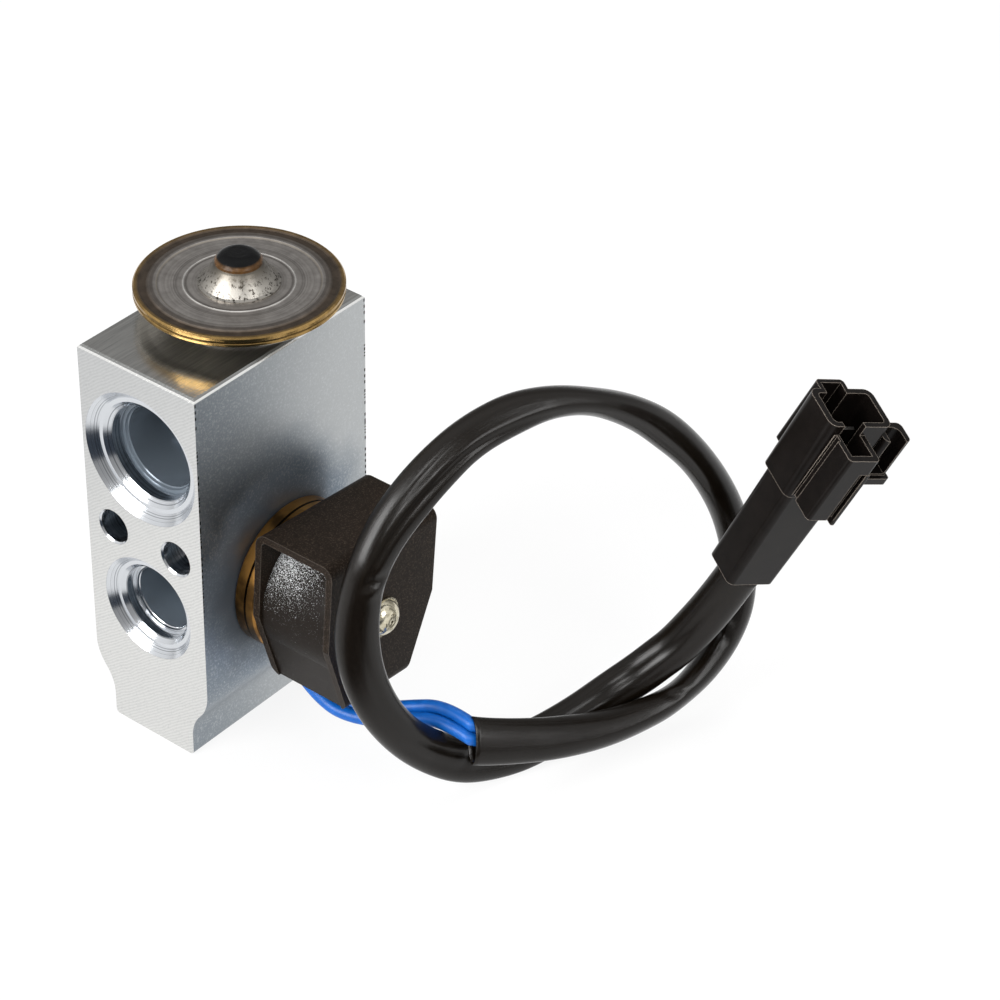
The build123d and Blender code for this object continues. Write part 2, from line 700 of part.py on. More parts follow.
bobbin_from = coil_from + 1.3
bobbin_to = coil_to - 1.3
with BuildPart() as coil_bobbin:
    with BuildSketch(COIL_SIDE):
        with BuildLine():
            Polyline(
                *on_coil_line([
                    (bobbin_from, TUBE_R + 0.05),
                    (bobbin_from, 12.9),
                    (bobbin_from + 1.2, 12.9),
                    (bobbin_from + 1.2, 6.7),
                    (bobbin_to - 1.2, 6.7),
                    (bobbin_to - 1.2, 12.9),
                    (bobbin_to, 12.9),
                    (bobbin_to, TUBE_R + 0.05),
                ]),
                close=True,
            )
        make_face()
    revolve(axis=coil_axis)
coil_bobbin.part.label = "coil_bobbin"
export_step(coil_bobbin.part, "parts/coil_bobbin.step")

with BuildPart() as coil_winding:
    with BuildSketch(COIL.offset(bobbin_from + 1.2)):
        Circle(12.2)
        Circle(6.7, mode=Mode.SUBTRACT)
    extrude(amount=bobbin_to - bobbin_from - 2.4)
coil_winding.part.label = "coil_winding"
export_step(coil_winding.part, "parts/coil_winding.step")

washer_t = 0.6
with BuildPart() as coil_screw_washer:
    with BuildSketch(COIL.offset(YOKE_OUT)):
        Circle(4.3)
        Circle(2.15, mode=Mode.SUBTRACT)
    extrude(amount=washer_t)
coil_screw_washer.part.label = "coil_screw_washer"
export_step(coil_screw_washer.part, "parts/coil_screw_washer.step")

head_base = YOKE_OUT + washer_t
with BuildPart() as coil_screw:
    with BuildSketch(COIL_SIDE):
        with BuildLine():
            Polyline((yoke_in - 4.4, 0), (yoke_in - 4.4, 1.6), (yoke_in - 4.0, 1.96), (head_base, 1.96), (head_base, 3.9))
            ThreePointArc((head_base, 3.9), (head_base + 1.5, 2.9), (head_base + 2.0, 0))
            Line((head_base + 2.0, 0), (yoke_in - 4.4, 0))
        make_face()
    revolve(axis=coil_axis)
    with BuildSketch(COIL.offset(head_base + 2.1)):
        Rectangle(3.6, 0.9)
        Rectangle(0.9, 3.6)
    extrude(amount=-1.7, taper=12, mode=Mode.SUBTRACT)
coil_screw.part.label = "coil_screw"
export_step(coil_screw.part, "parts/coil_screw.step")


def corner_radii(points):
    """Fillet radius for every inner corner: 0.45 of the shorter run over the tangent of half the turn."""
    radii = []
    for before, here, after in zip(points, points[1:], points[2:]):
        run_in = Vector(*here) - Vector(*before)
        run_out = Vector(*after) - Vector(*here)
        half_turn = math.radians(run_in.get_angle(run_out)) / 2
        radii.append(0.45 * min(run_in.length, run_out.length) / math.tan(half_turn))
    return radii


# Lead: two wires from the coil into a sleeve that stands in one upright loop
SLEEVE_POINTS = [
    (61.0, 1.6, 14.4),
    (68.4, 12.2, 9.4),
    (75.0, 29.5, 4.8),
    (80.8, 47.0, 6.4),
    (82.0, 61.5, 18.5),
    (78.2, 65.0, 37.5),
    (72.6, 56.4, 58.0),
    (65.8, 41.8, 74.0),
    (57.2, 22.8, 80.6),
    (49.8, 3.2, 75.0),
    (45.5, -11.5, 59.0),
    (46.2, -16.0, 38.0),
    (51.2, -9.8, 17.6),
    (58.2, 6.6, 3.8),
    (63.4, 25.4, 4.0),
    (69.6, 41.6, 11.2),
    (79.6, 49.7, 22.3),
    (86.5, 52.9, 38.4),
]
WIRE_MIDDLE = [
    (22.8, -5.1, 18.0),
    (29.0, -5.1, 12.2),
    (38.2, -4.2, 12.3),
    (46.0, -0.5, 14.8),
    (53.1, 2.6, 16.6),
    (60.0, 2.6, 15.4),
]
WIRE_OFFSETS = [
    (0.0, 1.5, 0.0),
    (0.0, 1.5, 0.0),
    (-0.2, 1.45, 0.3),
    (-0.6, 1.2, 0.7),
    (-0.4, 1.1, 1.0),
    (-0.3, 0.7, 1.25),
]
wire_1_points = [tuple(a + b for a, b in zip(p, o)) for p, o in zip(WIRE_MIDDLE, WIRE_OFFSETS)]
wire_2_points = [tuple(a - b for a, b in zip(p, o)) for p, o in zip(WIRE_MIDDLE, WIRE_OFFSETS)]

sleeve_radii = corner_radii(SLEEVE_POINTS)
with BuildPart() as lead_sleeve:
    with BuildLine():
        sleeve_line = FilletPolyline(*SLEEVE_POINTS, radius=sleeve_radii)
    with BuildSketch(Plane(origin=sleeve_line @ 0, z_dir=sleeve_line % 0)):
        Circle(SLEEVE_R)
    sweep(path=sleeve_line)
lead_sleeve.part.label = "lead_sleeve"
export_step(lead_sleeve.part, "parts/lead_sleeve.step")
print("sleeve radii", [round(r, 1) for r in sleeve_radii], "length", round(sleeve_line.length, 1))

wire_1_radii = corner_radii(wire_1_points)
with BuildPart() as lead_wire_1:
    with BuildLine():
        wire_1_line = FilletPolyline(*wire_1_points, radius=wire_1_radii)
    with BuildSketch(Plane(origin=wire_1_line @ 0, z_dir=wire_1_line % 0)):
        Circle(WIRE_R)
    sweep(path=wire_1_line)
lead_wire_1.part.label = "lead_wire_1"
export_step(lead_wire_1.part, "parts/lead_wire_1.step")
print("wire 1 radii", [round(r, 1) for r in wire_1_radii], "length", round(wire_1_line.length, 1))

wire_2_radii = corner_radii(wire_2_points)
with BuildPart() as lead_wire_2:
    with BuildLine():
        wire_2_line = FilletPolyline(*wire_2_points, radius=wire_2_radii)
    with BuildSketch(Plane(origin=wire_2_line @ 0, z_dir=wire_2_line % 0)):
        Circle(WIRE_R)
    sweep(path=wire_2_line)
lead_wire_2.part.label = "lead_wire_2"
export_step(lead_wire_2.part, "parts/lead_wire_2.step")
print("wire 2 radii", [round(r, 1) for r in wire_2_radii], "length", round(wire_2_line.length, 1))

# Connector, in its own axes: local x across the two cells, local y along the wide side, z to the mouth
plug_z = Vector(*SLEEVE_POINTS[-1]) - Vector(*SLEEVE_POINTS[-2])
PLUG = Plane(origin=SLEEVE_POINTS[-1], x_dir=(0.854, -0.439, -0.280), z_dir=plug_z)
PLUG_LEN = 45.0
REAR_LEN = 25.4
WALL = 1.2
MAIN_U = 9.9
MAIN_V = 15.3
MAIN_U0 = -6.5
MAIN_V0 = -7.4
MOUTH_FLARE = 1.3
REAR_U = 8.8
REAR_V = 13.2
REAR_TAPER = 1.8
LOWER_U = 6.7
LOWER_V = 7.5
LOWER_FROM = 26.2
LOWER_MOUTH = 42.7
LATCH_LEN = 12.7
CLIP_FROM = 31.0
CLIP_TO = 42.0
CLIP_U = 5.0
CLIP_V = 6.6
main_u = MAIN_U0 + MAIN_U / 2
main_v = MAIN_V0 + MAIN_V / 2
main_low = MAIN_U0 + MAIN_U
cell_floor = REAR_LEN + 2
rear_u = main_u + 0.7
rear_v = main_v + 0.3
lower_u = main_low + LOWER_U / 2 - WALL / 2
lower_v = MAIN_V0 + 2.1 + LOWER_V / 2
lower_face = main_low + LOWER_U
tab_v = main_v - 1.3
clip_u = main_u + 3.35
clip_v = MAIN_V0 + MAIN_V + CLIP_V / 2 - 0.45
with BuildPart() as connector_housing:
    # main shell, a little wider at its mouth
    with BuildSketch(PLUG.offset(REAR_LEN)):
        with Locations((main_u + 0.2, main_v + 0.2)):
            RectangleRounded(MAIN_U, MAIN_V - MOUTH_FLARE, 1.6)
    with BuildSketch(PLUG.offset(PLUG_LEN)):
        with Locations((main_u, main_v)):
            RectangleRounded(MAIN_U, MAIN_V, 1.9)
    loft()
    # rear body, narrowing to the sleeve
    with BuildSketch(PLUG):
        with Locations((rear_u + 0.15, rear_v + 0.2)):
            RectangleRounded(REAR_U, REAR_V - REAR_TAPER, 1.4)
    with BuildSketch(PLUG.offset(REAR_LEN)):
        with Locations((rear_u, rear_v)):
            RectangleRounded(REAR_U, REAR_V, 1.5)
    loft()
    # lower cell with its latch rail
    with BuildSketch(PLUG.offset(LOWER_FROM)):
        with Locations((lower_u, lower_v)):
            RectangleRounded(LOWER_U + WALL, LOWER_V, 0.9)
    extrude(amount=LOWER_MOUTH - LOWER_FROM)
    with BuildSketch(PLUG.offset(LOWER_FROM - 1.3)):
        with Locations((lower_face - 1.5, lower_v + LOWER_V / 2 - 0.5)):
            RectangleRounded(3.2, 1.0, 0.3)
    extrude(amount=LATCH_LEN + 1.3)
    # hollow key tab on the far wall
    with BuildSketch(PLUG.offset(REAR_LEN + 4)):
        with Locations((MAIN_U0 - 0.95, tab_v)):
            RectangleRounded(2.9, 6.9, 0.9)
    extrude(amount=PLUG_LEN - REAR_LEN - 4)
    # side clip, a channel open to the mouth and downwards, closed by a flange behind
    with BuildSketch(PLUG.offset(CLIP_FROM)):
        with Locations((clip_u, clip_v)):
            RectangleRounded(CLIP_U, CLIP_V, 1.2)
    extrude(amount=CLIP_TO - CLIP_FROM)
    with BuildSketch(PLUG.offset(CLIP_FROM)):
        with Locations((clip_u + 0.5, clip_v)):
            RectangleRounded(CLIP_U + 1.0, CLIP_V, 0.8)
    extrude(amount=1.6)
    with BuildSketch(PLUG.offset(CLIP_FROM + 2.0)):
        with Locations((clip_u + 2.2, clip_v)):
            RectangleRounded(CLIP_U + 2.0, CLIP_V - 2.5, 1.7)
    extrude(amount=CLIP_TO, mode=Mode.SUBTRACT)
    # cell openings, joined through the wall between them
    with BuildSketch(PLUG.offset(cell_floor)):
        with Locations((main_u, main_v + 0.1)):
            RectangleRounded(MAIN_U - 2 * WALL, MAIN_V - 2 * WALL - 0.4, 0.9)
    extrude(amount=PLUG_LEN, mode=Mode.SUBTRACT)
    with BuildSketch(PLUG.offset(LOWER_FROM + 4)):
        with Locations((lower_u - 1.3, lower_v)):
            Rectangle(LOWER_U + 1.0, LOWER_V - 2 * WALL)
    extrude(amount=PLUG_LEN, mode=Mode.SUBTRACT)
    with BuildSketch(PLUG.offset(REAR_LEN + 6)):
        with Locations((MAIN_U0, tab_v)):
            Rectangle(3.0, 4.9)
    extrude(amount=PLUG_LEN, mode=Mode.SUBTRACT)
    # latch slot beside the rail
    with BuildSketch(PLUG.offset(LOWER_FROM - 2)):
        with Locations((lower_face, lower_v + LOWER_V / 2 - 1.0 - 0.85)):
            Rectangle(1.9, 1.7)
    extrude(amount=LATCH_LEN + 2, mode=Mode.SUBTRACT)
    # groove between the two shells
    with BuildSketch(PLUG.offset(LOWER_FROM - 1)):
        with Locations((main_low + 0.9, lower_v - LOWER_V / 2)):
            Rectangle(1.4, 1.2)
    extrude(amount=LOWER_MOUTH - LOWER_FROM + 2, mode=Mode.SUBTRACT)
connector_housing.part.label = "connector_housing"
export_step(connector_housing.part, "parts/connector_housing.step")

BLADE_W = 2.8
BLADE_T = 0.8
with BuildPart() as terminal_1:
    with BuildSketch(PLUG.offset(cell_floor)):
        with Locations((main_u, main_v - 3.0)):
            Rectangle(BLADE_T, BLADE_W)
    extrude(amount=12.0)
terminal_1.part.label = "terminal_1"
export_step(terminal_1.part, "parts/terminal_1.step")

with BuildPart() as terminal_2:
    with BuildSketch(PLUG.offset(cell_floor)):
        with Locations((main_u, main_v + 3.0)):
            Rectangle(BLADE_T, BLADE_W)
    extrude(amount=12.0)
terminal_2.part.label = "terminal_2"
export_step(terminal_2.part, "parts/terminal_2.step")
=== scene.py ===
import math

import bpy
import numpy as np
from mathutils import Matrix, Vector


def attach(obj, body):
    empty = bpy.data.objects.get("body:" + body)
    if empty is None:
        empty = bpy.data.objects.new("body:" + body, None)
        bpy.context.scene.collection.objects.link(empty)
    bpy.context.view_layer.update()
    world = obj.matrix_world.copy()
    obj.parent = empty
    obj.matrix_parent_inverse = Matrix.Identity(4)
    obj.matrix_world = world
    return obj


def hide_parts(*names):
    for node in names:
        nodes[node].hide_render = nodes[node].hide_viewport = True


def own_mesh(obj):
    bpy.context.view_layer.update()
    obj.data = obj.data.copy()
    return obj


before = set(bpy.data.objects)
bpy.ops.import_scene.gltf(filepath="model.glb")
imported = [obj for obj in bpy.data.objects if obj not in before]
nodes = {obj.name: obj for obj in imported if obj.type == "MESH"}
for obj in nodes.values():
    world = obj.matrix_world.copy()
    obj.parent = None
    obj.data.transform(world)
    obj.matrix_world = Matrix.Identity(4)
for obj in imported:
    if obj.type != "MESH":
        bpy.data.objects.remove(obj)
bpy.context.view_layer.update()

# %% [markdown]
# # A block expansion valve, lesson by lesson
# The frame that was just loaded holds the machined solids. Here they get their finishes, and the soft
# and fine pieces (the sleeve, its wires, two springs) are built as surfaces of their own.

MM = 0.001


# %% [markdown]
# ## The camera
# The photograph was taken from above and to the right with a long lens, which keeps upright edges
# almost parallel. The camera's place came from matching the block's corners, so it is written here as
# a point and three directions, not aimed by eye.

# %% Camera
CAM_AT = Vector((370.33, -386.37, 431.52)) * MM
CAM_RIGHT = Vector((0.77978, 0.62583, 0.01673))
CAM_UP = Vector((-0.37780, 0.44908, 0.80969))
CAM_FORWARD = Vector((-0.49921, 0.63770, -0.58662))
LENS_MM = 120.0
FILM_MM = 36.0

lens = bpy.data.cameras.new("camera")
lens.lens = LENS_MM
lens.sensor_width = FILM_MM
lens.clip_start = 0.01
camera = bpy.data.objects.new("camera", lens)
bpy.context.scene.collection.objects.link(camera)
turn = Matrix((CAM_RIGHT, CAM_UP, -CAM_FORWARD)).transposed().to_4x4()
camera.matrix_world = Matrix.Translation(CAM_AT) @ turn
bpy.context.scene.camera = camera
print("camera", [round(v, 3) for v in camera.location])

# %% [markdown]
# ## One way to colour and one way to wire
# Colours are picked as screen hex values, and one function turns them to linear light. One small
# function adds a shader node, sets it and links it, so each material below reads as a list of steps.

# %% Colour and node helpers
def lin(code):
    """Turns a hex colour to linear red, green, blue and alpha: each channel to the power law of sRGB."""
    parts = np.array([int(code[i:i + 2], 16) for i in (1, 3, 5)]) / 255.0
    low = parts / 12.92
    high = ((parts + 0.055) / 1.055) ** 2.4
    return [float(v) for v in np.where(parts <= 0.04045, low, high)] + [1.0]


def add(tree, kind, sockets=None, **settings):
    """Adds one shader node and fills its sockets.

    A socket is given by name or number. It takes a number, a vector, a hex colour, one output of
    another node, or a whole node, whose first working output is then linked.
    """
    node = tree.nodes.new("ShaderNode" + kind)
    for name, value in settings.items():
        setattr(node, name, value)
    for name, value in (sockets or {}).items():
        if isinstance(value, bpy.types.Node):
            value = next(output for output in value.outputs if output.enabled)
        if isinstance(value, bpy.types.NodeSocket):
            tree.links.new(value, node.inputs[name])
        else:
            node.inputs[name].default_value = lin(value) if isinstance(value, str) else value
    return node


def new_material(name):
    """An empty node material, its tree, and the output that gives the place on the piece."""
    made = bpy.data.materials.new(name)
    made.use_nodes = True
    made.node_tree.nodes.clear()
    return made, made.node_tree, add(made.node_tree, "TexCoord").outputs["Object"]


def finish_material(tree, **sockets):
    """Closes a material with a Principled shader whose sockets are given by name with _ for spaces."""
    named = {key.replace("_", " "): value for key, value in sockets.items()}
    add(tree, "OutputMaterial", {"Surface": add(tree, "BsdfPrincipled", named)})


def where_all(tree, *shares):
    """Product of shares from 0 to 1, so it is 1 only where every one of them is."""
    product = shares[0]
    for share in shares[1:]:
        product = add(tree, "Math", {0: product, 1: share}, operation="MULTIPLY")
    return product


def paint(tree, base, *layers):
    """A base colour with layers laid over it in turn, each given as its share and its colour."""
    for share, colour in layers:
        base = add(tree, "Mix", {0: share, 6: base, 7: colour}, data_type="RGBA")
    return base


print("mid grey #808080 is", round(lin("#808080")[0], 3), "in linear light")

# %% [markdown]
# ## A pale floor
# The part stands on a sweep of white paper, which is matt: it takes a soft shadow and mirrors nothing.
# Its material shows white to the camera, but keeps part of the true shading, and so the shadow too.
# Bare metal shows what it mirrors, so for mirrored rays alone the sweep has a dark board in front on
# the right. That gives the machined rings their black and white bands.

# %% Floor
SMOOTH = "SMOOTHSTEP"
BOARD_X = (0.022, 0.05)
BOARD_Y = (-0.03, -0.06)
GLOW_SHARE = 0.86
FLOOR_HALF = 3.0

white, tree, place = new_material("white_sweep_paper")
spot = add(tree, "SeparateXYZ", {0: place}).outputs
rays = add(tree, "LightPath").outputs
board_right = add(tree, "MapRange", {0: spot[0], 1: BOARD_X[0], 2: BOARD_X[1]}, interpolation_type=SMOOTH)
board_front = add(tree, "MapRange", {0: spot[1], 1: BOARD_Y[0], 2: BOARD_Y[1]}, interpolation_type=SMOOTH)
mirrored = where_all(tree, board_right, board_front, rays["Is Glossy Ray"])
looked_at = add(tree, "Math", {0: rays["Is Camera Ray"], 1: rays["Is Glossy Ray"]}, operation="MAXIMUM")
paper = add(tree, "BsdfDiffuse", {"Color": "#f4f4f4"})
glow = add(tree, "Emission", {"Color": "#ffffff", "Strength": 1.0})
dark_board = add(tree, "Emission", {"Color": "#39404a", "Strength": 1.0})
both = add(tree, "MixShader", {0: where_all(tree, looked_at, GLOW_SHARE), 1: paper, 2: glow})
laid = add(tree, "MixShader", {0: mirrored, 1: both, 2: dark_board})
add(tree, "OutputMaterial", {"Surface": laid})

corners = [(-FLOOR_HALF, -FLOOR_HALF, 0), (FLOOR_HALF, -FLOOR_HALF, 0)]
corners += [(FLOOR_HALF, FLOOR_HALF, 0), (-FLOOR_HALF, FLOOR_HALF, 0)]
floor_mesh = bpy.data.meshes.new("floor")
floor_mesh.from_pydata(corners, [], [(0, 1, 2, 3)])
floor = bpy.data.objects.new("floor", floor_mesh)
bpy.context.scene.collection.objects.link(floor)
floor_mesh.materials.append(white)
print("floor", 2 * FLOOR_HALF, "m wide")

# %% [markdown]
# ## The room round it
# The camera sees a white room, and the part is lit by an even grey one. In mirrored rays the walls are
# pale at two sides, and darker behind the camera and opposite it, which keeps the black plastics black.
# The share of each wall comes from how far its direction lies along the camera's own heading.

# %% World
VIEW_WAY = (0.62, -0.78, 0.0)
PALE_WALL = 0.95
DARK_WALL = 0.36
WALL_CHANGE = (0.2, 0.7)
ROOM_LIGHT = 0.45

world = bpy.data.worlds.new("studio")
bpy.context.scene.world = world
world.use_nodes = True
tree = world.node_tree
tree.nodes.clear()
rays = add(tree, "LightPath").outputs
way = add(tree, "TexCoord").outputs["Generated"]
along_view = add(tree, "VectorMath", {0: way, 1: VIEW_WAY}, operation="DOT_PRODUCT").outputs["Value"]
along_view = add(tree, "Math", {0: along_view}, operation="ABSOLUTE")
wall_steps = {0: along_view, 1: WALL_CHANGE[0], 2: WALL_CHANGE[1], 3: PALE_WALL, 4: DARK_WALL}
walls = add(tree, "MapRange", wall_steps, interpolation_type=SMOOTH)
room = add(tree, "Background", {"Color": "#ffffff", "Strength": ROOM_LIGHT})
pale_walls = add(tree, "Background", {"Color": "#ffffff", "Strength": walls})
sky = add(tree, "Background", {"Color": "#ffffff", "Strength": 1.0})
mirrored = add(tree, "MixShader", {0: rays["Is Glossy Ray"], 1: room, 2: pale_walls})
seen = add(tree, "MixShader", {0: rays["Is Camera Ray"], 1: mirrored, 2: sky})
add(tree, "OutputWorld", {"Surface": seen})
print("world", len(tree.nodes), "nodes")

# %% [markdown]
# ## Lamps
# Four soft boxes stand round the part. The front one is the strongest and models the port face, the
# one on the right lights the solenoid, and a small one beside the camera makes the long glints on the
# sleeve. The top one is kept out of mirrored rays, so that it leaves no white patch on the disc.

# %% Lamps
def soft_box(name, at, aim, size, watts):
    """A square area lamp at one point, facing another, both in metres."""
    lamp = bpy.data.lights.new(name, "AREA")
    lamp.shape = "SQUARE"
    lamp.size = size
    lamp.energy = watts
    obj = bpy.data.objects.new(name, lamp)
    bpy.context.scene.collection.objects.link(obj)
    obj.location = at
    obj.rotation_euler = (Vector(aim) - Vector(at)).to_track_quat("-Z", "Y").to_euler()
    return obj


soft_box("front_soft_box", (-0.15, -0.75, 0.45), (0, 0, 0.05), 0.5, 9.0)
soft_box("right_soft_box", (0.85, -0.1, 0.5), (0.03, 0, 0.04), 0.4, 3.0)
top_box = soft_box("top_soft_box", (-0.2, 0.35, 0.9), (0, 0, 0.05), 0.5, 4.0)
top_box.visible_glossy = False
soft_box("camera_side_lamp", (0.42, -0.60, 0.70), (0.05, 0, 0.05), 0.22, 1.6)
bpy.context.scene.view_settings.view_transform = "Standard"
print("lamps 4")

# %% [markdown]
# ## Sawn, milled and drawn aluminium
# The block is cut from a drawn bar. The saw leaves fine slanting lines on the port face, the long sides
# keep the grey grain of the drawing die, and the cutters leave the ports and the edge bevels almost
# like mirrors. Each face could have a material of its own, but they all meet in one solid, so one
# material does it all. It starts with a share for each finish: a number from 0 to 1 worked out from
# the place on the piece and from the way its surface faces.

# %% Block: where each finish goes
SIDE_X = 14.6 * MM
PORT_FACE_Y = 23.98 * MM
BORE_Y = 18.9 * MM
INSIDE_Z = (17.3 * MM, 86.0 * MM)
BRIGHT_LINE_Z = (86.25 * MM, 86.62 * MM)
TOP_Z = 86.5 * MM


def band(tree, value, low, high, soft):
    """1 where the value lies between low and high, falling to 0 over the soft distance."""
    rise = add(tree, "MapRange", {0: value, 1: low - soft, 2: low})
    fall = add(tree, "MapRange", {0: value, 1: high, 2: high + soft, 3: 1.0, 4: 0.0})
    return where_all(tree, rise, fall)


block_metal, tree, place = new_material("sawn_and_milled_aluminium")
spot = add(tree, "SeparateXYZ", {0: place}).outputs
facing = add(tree, "SeparateXYZ", {0: add(tree, "NewGeometry").outputs["Normal"]}).outputs
across = add(tree, "Math", {0: spot[0]}, operation="ABSOLUTE")
along = add(tree, "Math", {0: spot[1]}, operation="ABSOLUTE")
facing_side = add(tree, "Math", {0: facing[0]}, operation="ABSOLUTE")
facing_port = add(tree, "Math", {0: facing[1]}, operation="ABSOLUTE")
up_face = add(tree, "Math", {0: facing[2], 1: 0.5}, operation="GREATER_THAN")
port_face = add(tree, "Math", {0: facing_port, 1: 0.98}, operation="GREATER_THAN")
side_face = add(tree, "Math", {0: facing_side, 1: 0.6}, operation="GREATER_THAN")

within_sides = add(tree, "Math", {0: across, 1: SIDE_X}, operation="LESS_THAN")
within_faces = add(tree, "Math", {0: along, 1: PORT_FACE_Y}, operation="LESS_THAN")
within_steps = add(tree, "Math", {0: along, 1: BORE_Y}, operation="LESS_THAN")
inside = where_all(tree, within_sides, within_faces, band(tree, spot[2], *INSIDE_Z, 0.01 * MM))
deep = where_all(tree, inside, within_steps)

# the bevels round the top slope are painted darker as painted shade, and a painted highlight line runs along
# the middle of them
above_line = add(tree, "Math", {0: spot[2], 1: BRIGHT_LINE_Z[0]}, operation="GREATER_THAN")
below_line = add(tree, "Math", {0: spot[2], 1: BRIGHT_LINE_Z[1]}, operation="LESS_THAN")
at_top = add(tree, "Math", {0: spot[2], 1: TOP_Z}, operation="GREATER_THAN")
not_level = add(tree, "Math", {0: facing[2], 1: 0.95}, operation="LESS_THAN")
not_upright = add(tree, "Math", {0: facing[2], 1: 0.3}, operation="GREATER_THAN")
slope = where_all(tree, not_level, not_upright)
bevel = where_all(tree, above_line, below_line, slope)
print("block shares", len(tree.nodes), "nodes")

# %% [markdown]
# ## Patterns of the block
# Each pattern's scale is one over its real size. The saw lines are drawn 0.6 mm apart, which is coarser
# than real ones, so that they show at this distance. Stretching the place along one direction turns
# spots into brush strokes.

# %% Block: patterns
SAW_LINE = 0.6 * MM
SAW_TURN = math.radians(38)
BRUSH_TURN = math.radians(-38)
WAVE_REPEAT = 0.314  # a wave texture repeats every 0.314 divided by its scale


def line_place(tree, value):
    """A value as a place on a line, so that a pattern read there changes with that value alone."""
    return add(tree, "CombineXYZ", {0: value})


slanted = add(tree, "Mapping", {"Vector": place, "Rotation": (0.0, SAW_TURN, 0.0)})
saw_sizes = {"Scale": WAVE_REPEAT / SAW_LINE, "Distortion": 4.0, "Detail": 3.0, "Detail Scale": 0.6}
saw = add(tree, "TexWave", {"Vector": slanted, **saw_sizes}, bands_direction="Z").outputs["Fac"]
grain = add(tree, "TexNoise", {"Vector": place, "Scale": 1 / (0.45 * MM), "Detail": 3.0, "Roughness": 0.7})
cloud = add(tree, "TexNoise", {"Vector": place, "Scale": 1 / (9 * MM), "Detail": 3.0})
brush_way = {"Rotation": (0.0, 0.0, BRUSH_TURN), "Scale": (1.0, 0.05, 1.0)}
brushed = add(tree, "Mapping", {"Vector": place, **brush_way})
streaks = add(tree, "TexNoise", {"Vector": brushed, "Scale": 1 / (0.4 * MM), "Detail": 3.0})
turning = add(tree, "TexNoise", {"Vector": line_place(tree, along), "Scale": 1 / (0.35 * MM), "Detail": 1.0})
grain_swing = add(tree, "Math", {0: grain, 1: 0.5}, operation="SUBTRACT")
sparkle = where_all(tree, grain_swing, 1.6)
cloud_swing = add(tree, "Math", {0: cloud, 1: 0.5}, operation="SUBTRACT")
wobble = where_all(tree, cloud_swing, 9 * MM)
print("block patterns", len(tree.nodes), "nodes")

# %% [markdown]
# ## Colours of the block's faces
# The drawn side is a grey mirror. A dark cloud round the solenoid is painted into its colour, a painted
# reflection of the black coil, and the side is painted lighter towards the back as painted light. The
# port face is matt and pale, and painted shade makes it a little darker towards its upper left corner.
# The top is brushed.

# %% Block: face colours
COIL_SHADE_AT = (15 * MM, -5 * MM, 38 * MM)

from_coil = add(tree, "VectorMath", {0: place, 1: COIL_SHADE_AT}, operation="DISTANCE").outputs["Value"]
near_edge = add(tree, "Math", {0: from_coil, 1: wobble}, operation="SUBTRACT")
coil_reflection_fade = add(tree, "MapRange", {0: near_edge, 1: 24 * MM, 2: 12 * MM}, interpolation_type=SMOOTH)
painted_coil_reflection = where_all(tree, side_face, coil_reflection_fade)
far_edge = add(tree, "Math", {0: from_coil, 1: wobble}, operation="ADD")
past_cloud = add(tree, "MapRange", {0: far_edge, 1: 19 * MM, 2: 34 * MM}, interpolation_type=SMOOTH)
to_back = add(tree, "MapRange", {0: spot[1], 1: -24 * MM, 2: 18 * MM}, interpolation_type=SMOOTH)
# painted light and reflection: the side is painted lighter towards the back, and darker in the cloud by the
# collar as a painted reflection of the coil
side_painted_lighter = paint(tree, "#8b9298", (to_back, "#c0c3c4"))
side_colour = paint(tree, "#7c8792", (past_cloud, side_painted_lighter), (sparkle, "#e6e9ec"), (painted_coil_reflection, "#434b53"))

# painted shade: the port face is painted lighter towards its lower right and darker towards its upper left
rightward = where_all(tree, spot[0], 0.8)
lower_right = add(tree, "Math", {0: rightward, 1: spot[2]}, operation="SUBTRACT")
to_low = add(tree, "MapRange", {0: lower_right, 1: -98 * MM, 2: -30 * MM}, interpolation_type=SMOOTH)
saw_share = where_all(tree, saw, 0.2)
pit_share = where_all(tree, sparkle, 0.6)
face_colour = paint(tree, "#c3c4c4", (to_low, "#dcdcda"), (saw_share, "#8f9090"), (pit_share, "#8a8c8e"))
top_colour = paint(tree, "#8f8f8d", (streaks, "#d9d8d4"))
print("block colours", len(tree.nodes), "nodes")

# %% [markdown]
# ## All of the block together
# The colours are laid one over another, and roughness follows the same shares: 0.42 on sawn and drawn
# faces, 0.2 on the top, 0.17 where a cutter went. The upright edges are notched by the saw, which shows
# as dark dashes. The turned cones carry fine rings. The bores are painted darker as painted shade, and
# the cloud round the solenoid is a painted reflection; both are less metallic, so their colour shows.

# %% Block: layers
EDGE_Y = 23.62 * MM

near_upright_edge = add(tree, "Math", {0: along, 1: EDGE_Y}, operation="GREATER_THAN")
higher = add(tree, "MapRange", {0: spot[2], 1: 30 * MM, 2: 44 * MM}, interpolation_type=SMOOTH)
height_line = add(tree, "CombineXYZ", {2: spot[2]})
notches = add(tree, "TexNoise", {"Vector": height_line, "Scale": 1 / (0.7 * MM), "Detail": 0.0})
notched = add(tree, "Math", {0: notches, 1: 0.5}, operation="GREATER_THAN")
notch = where_all(tree, side_face, near_upright_edge, higher, notched)
cut_line = add(tree, "MapRange", {0: turning, 1: 0.5, 2: 0.62}, interpolation_type=SMOOTH)
cut_share = where_all(tree, inside, cut_line, 0.6)

metal = paint(tree, "#c9cbcd", (port_face, face_colour), (side_face, side_colour), (notch, "#15181c"))
metal = paint(tree, metal, (up_face, top_colour), (at_top, top_colour))
# painted shade on the bevel slopes, and a painted highlight along the line in their middle
metal = paint(tree, metal, (where_all(tree, slope, 0.55), "#55585a"), (bevel, "#e8e8e6"))
# painted shade: the deep bores are painted darker grey
metal = paint(tree, metal, (inside, "#d2d5d9"), (cut_share, "#5d6368"), (deep, "#666f78"))
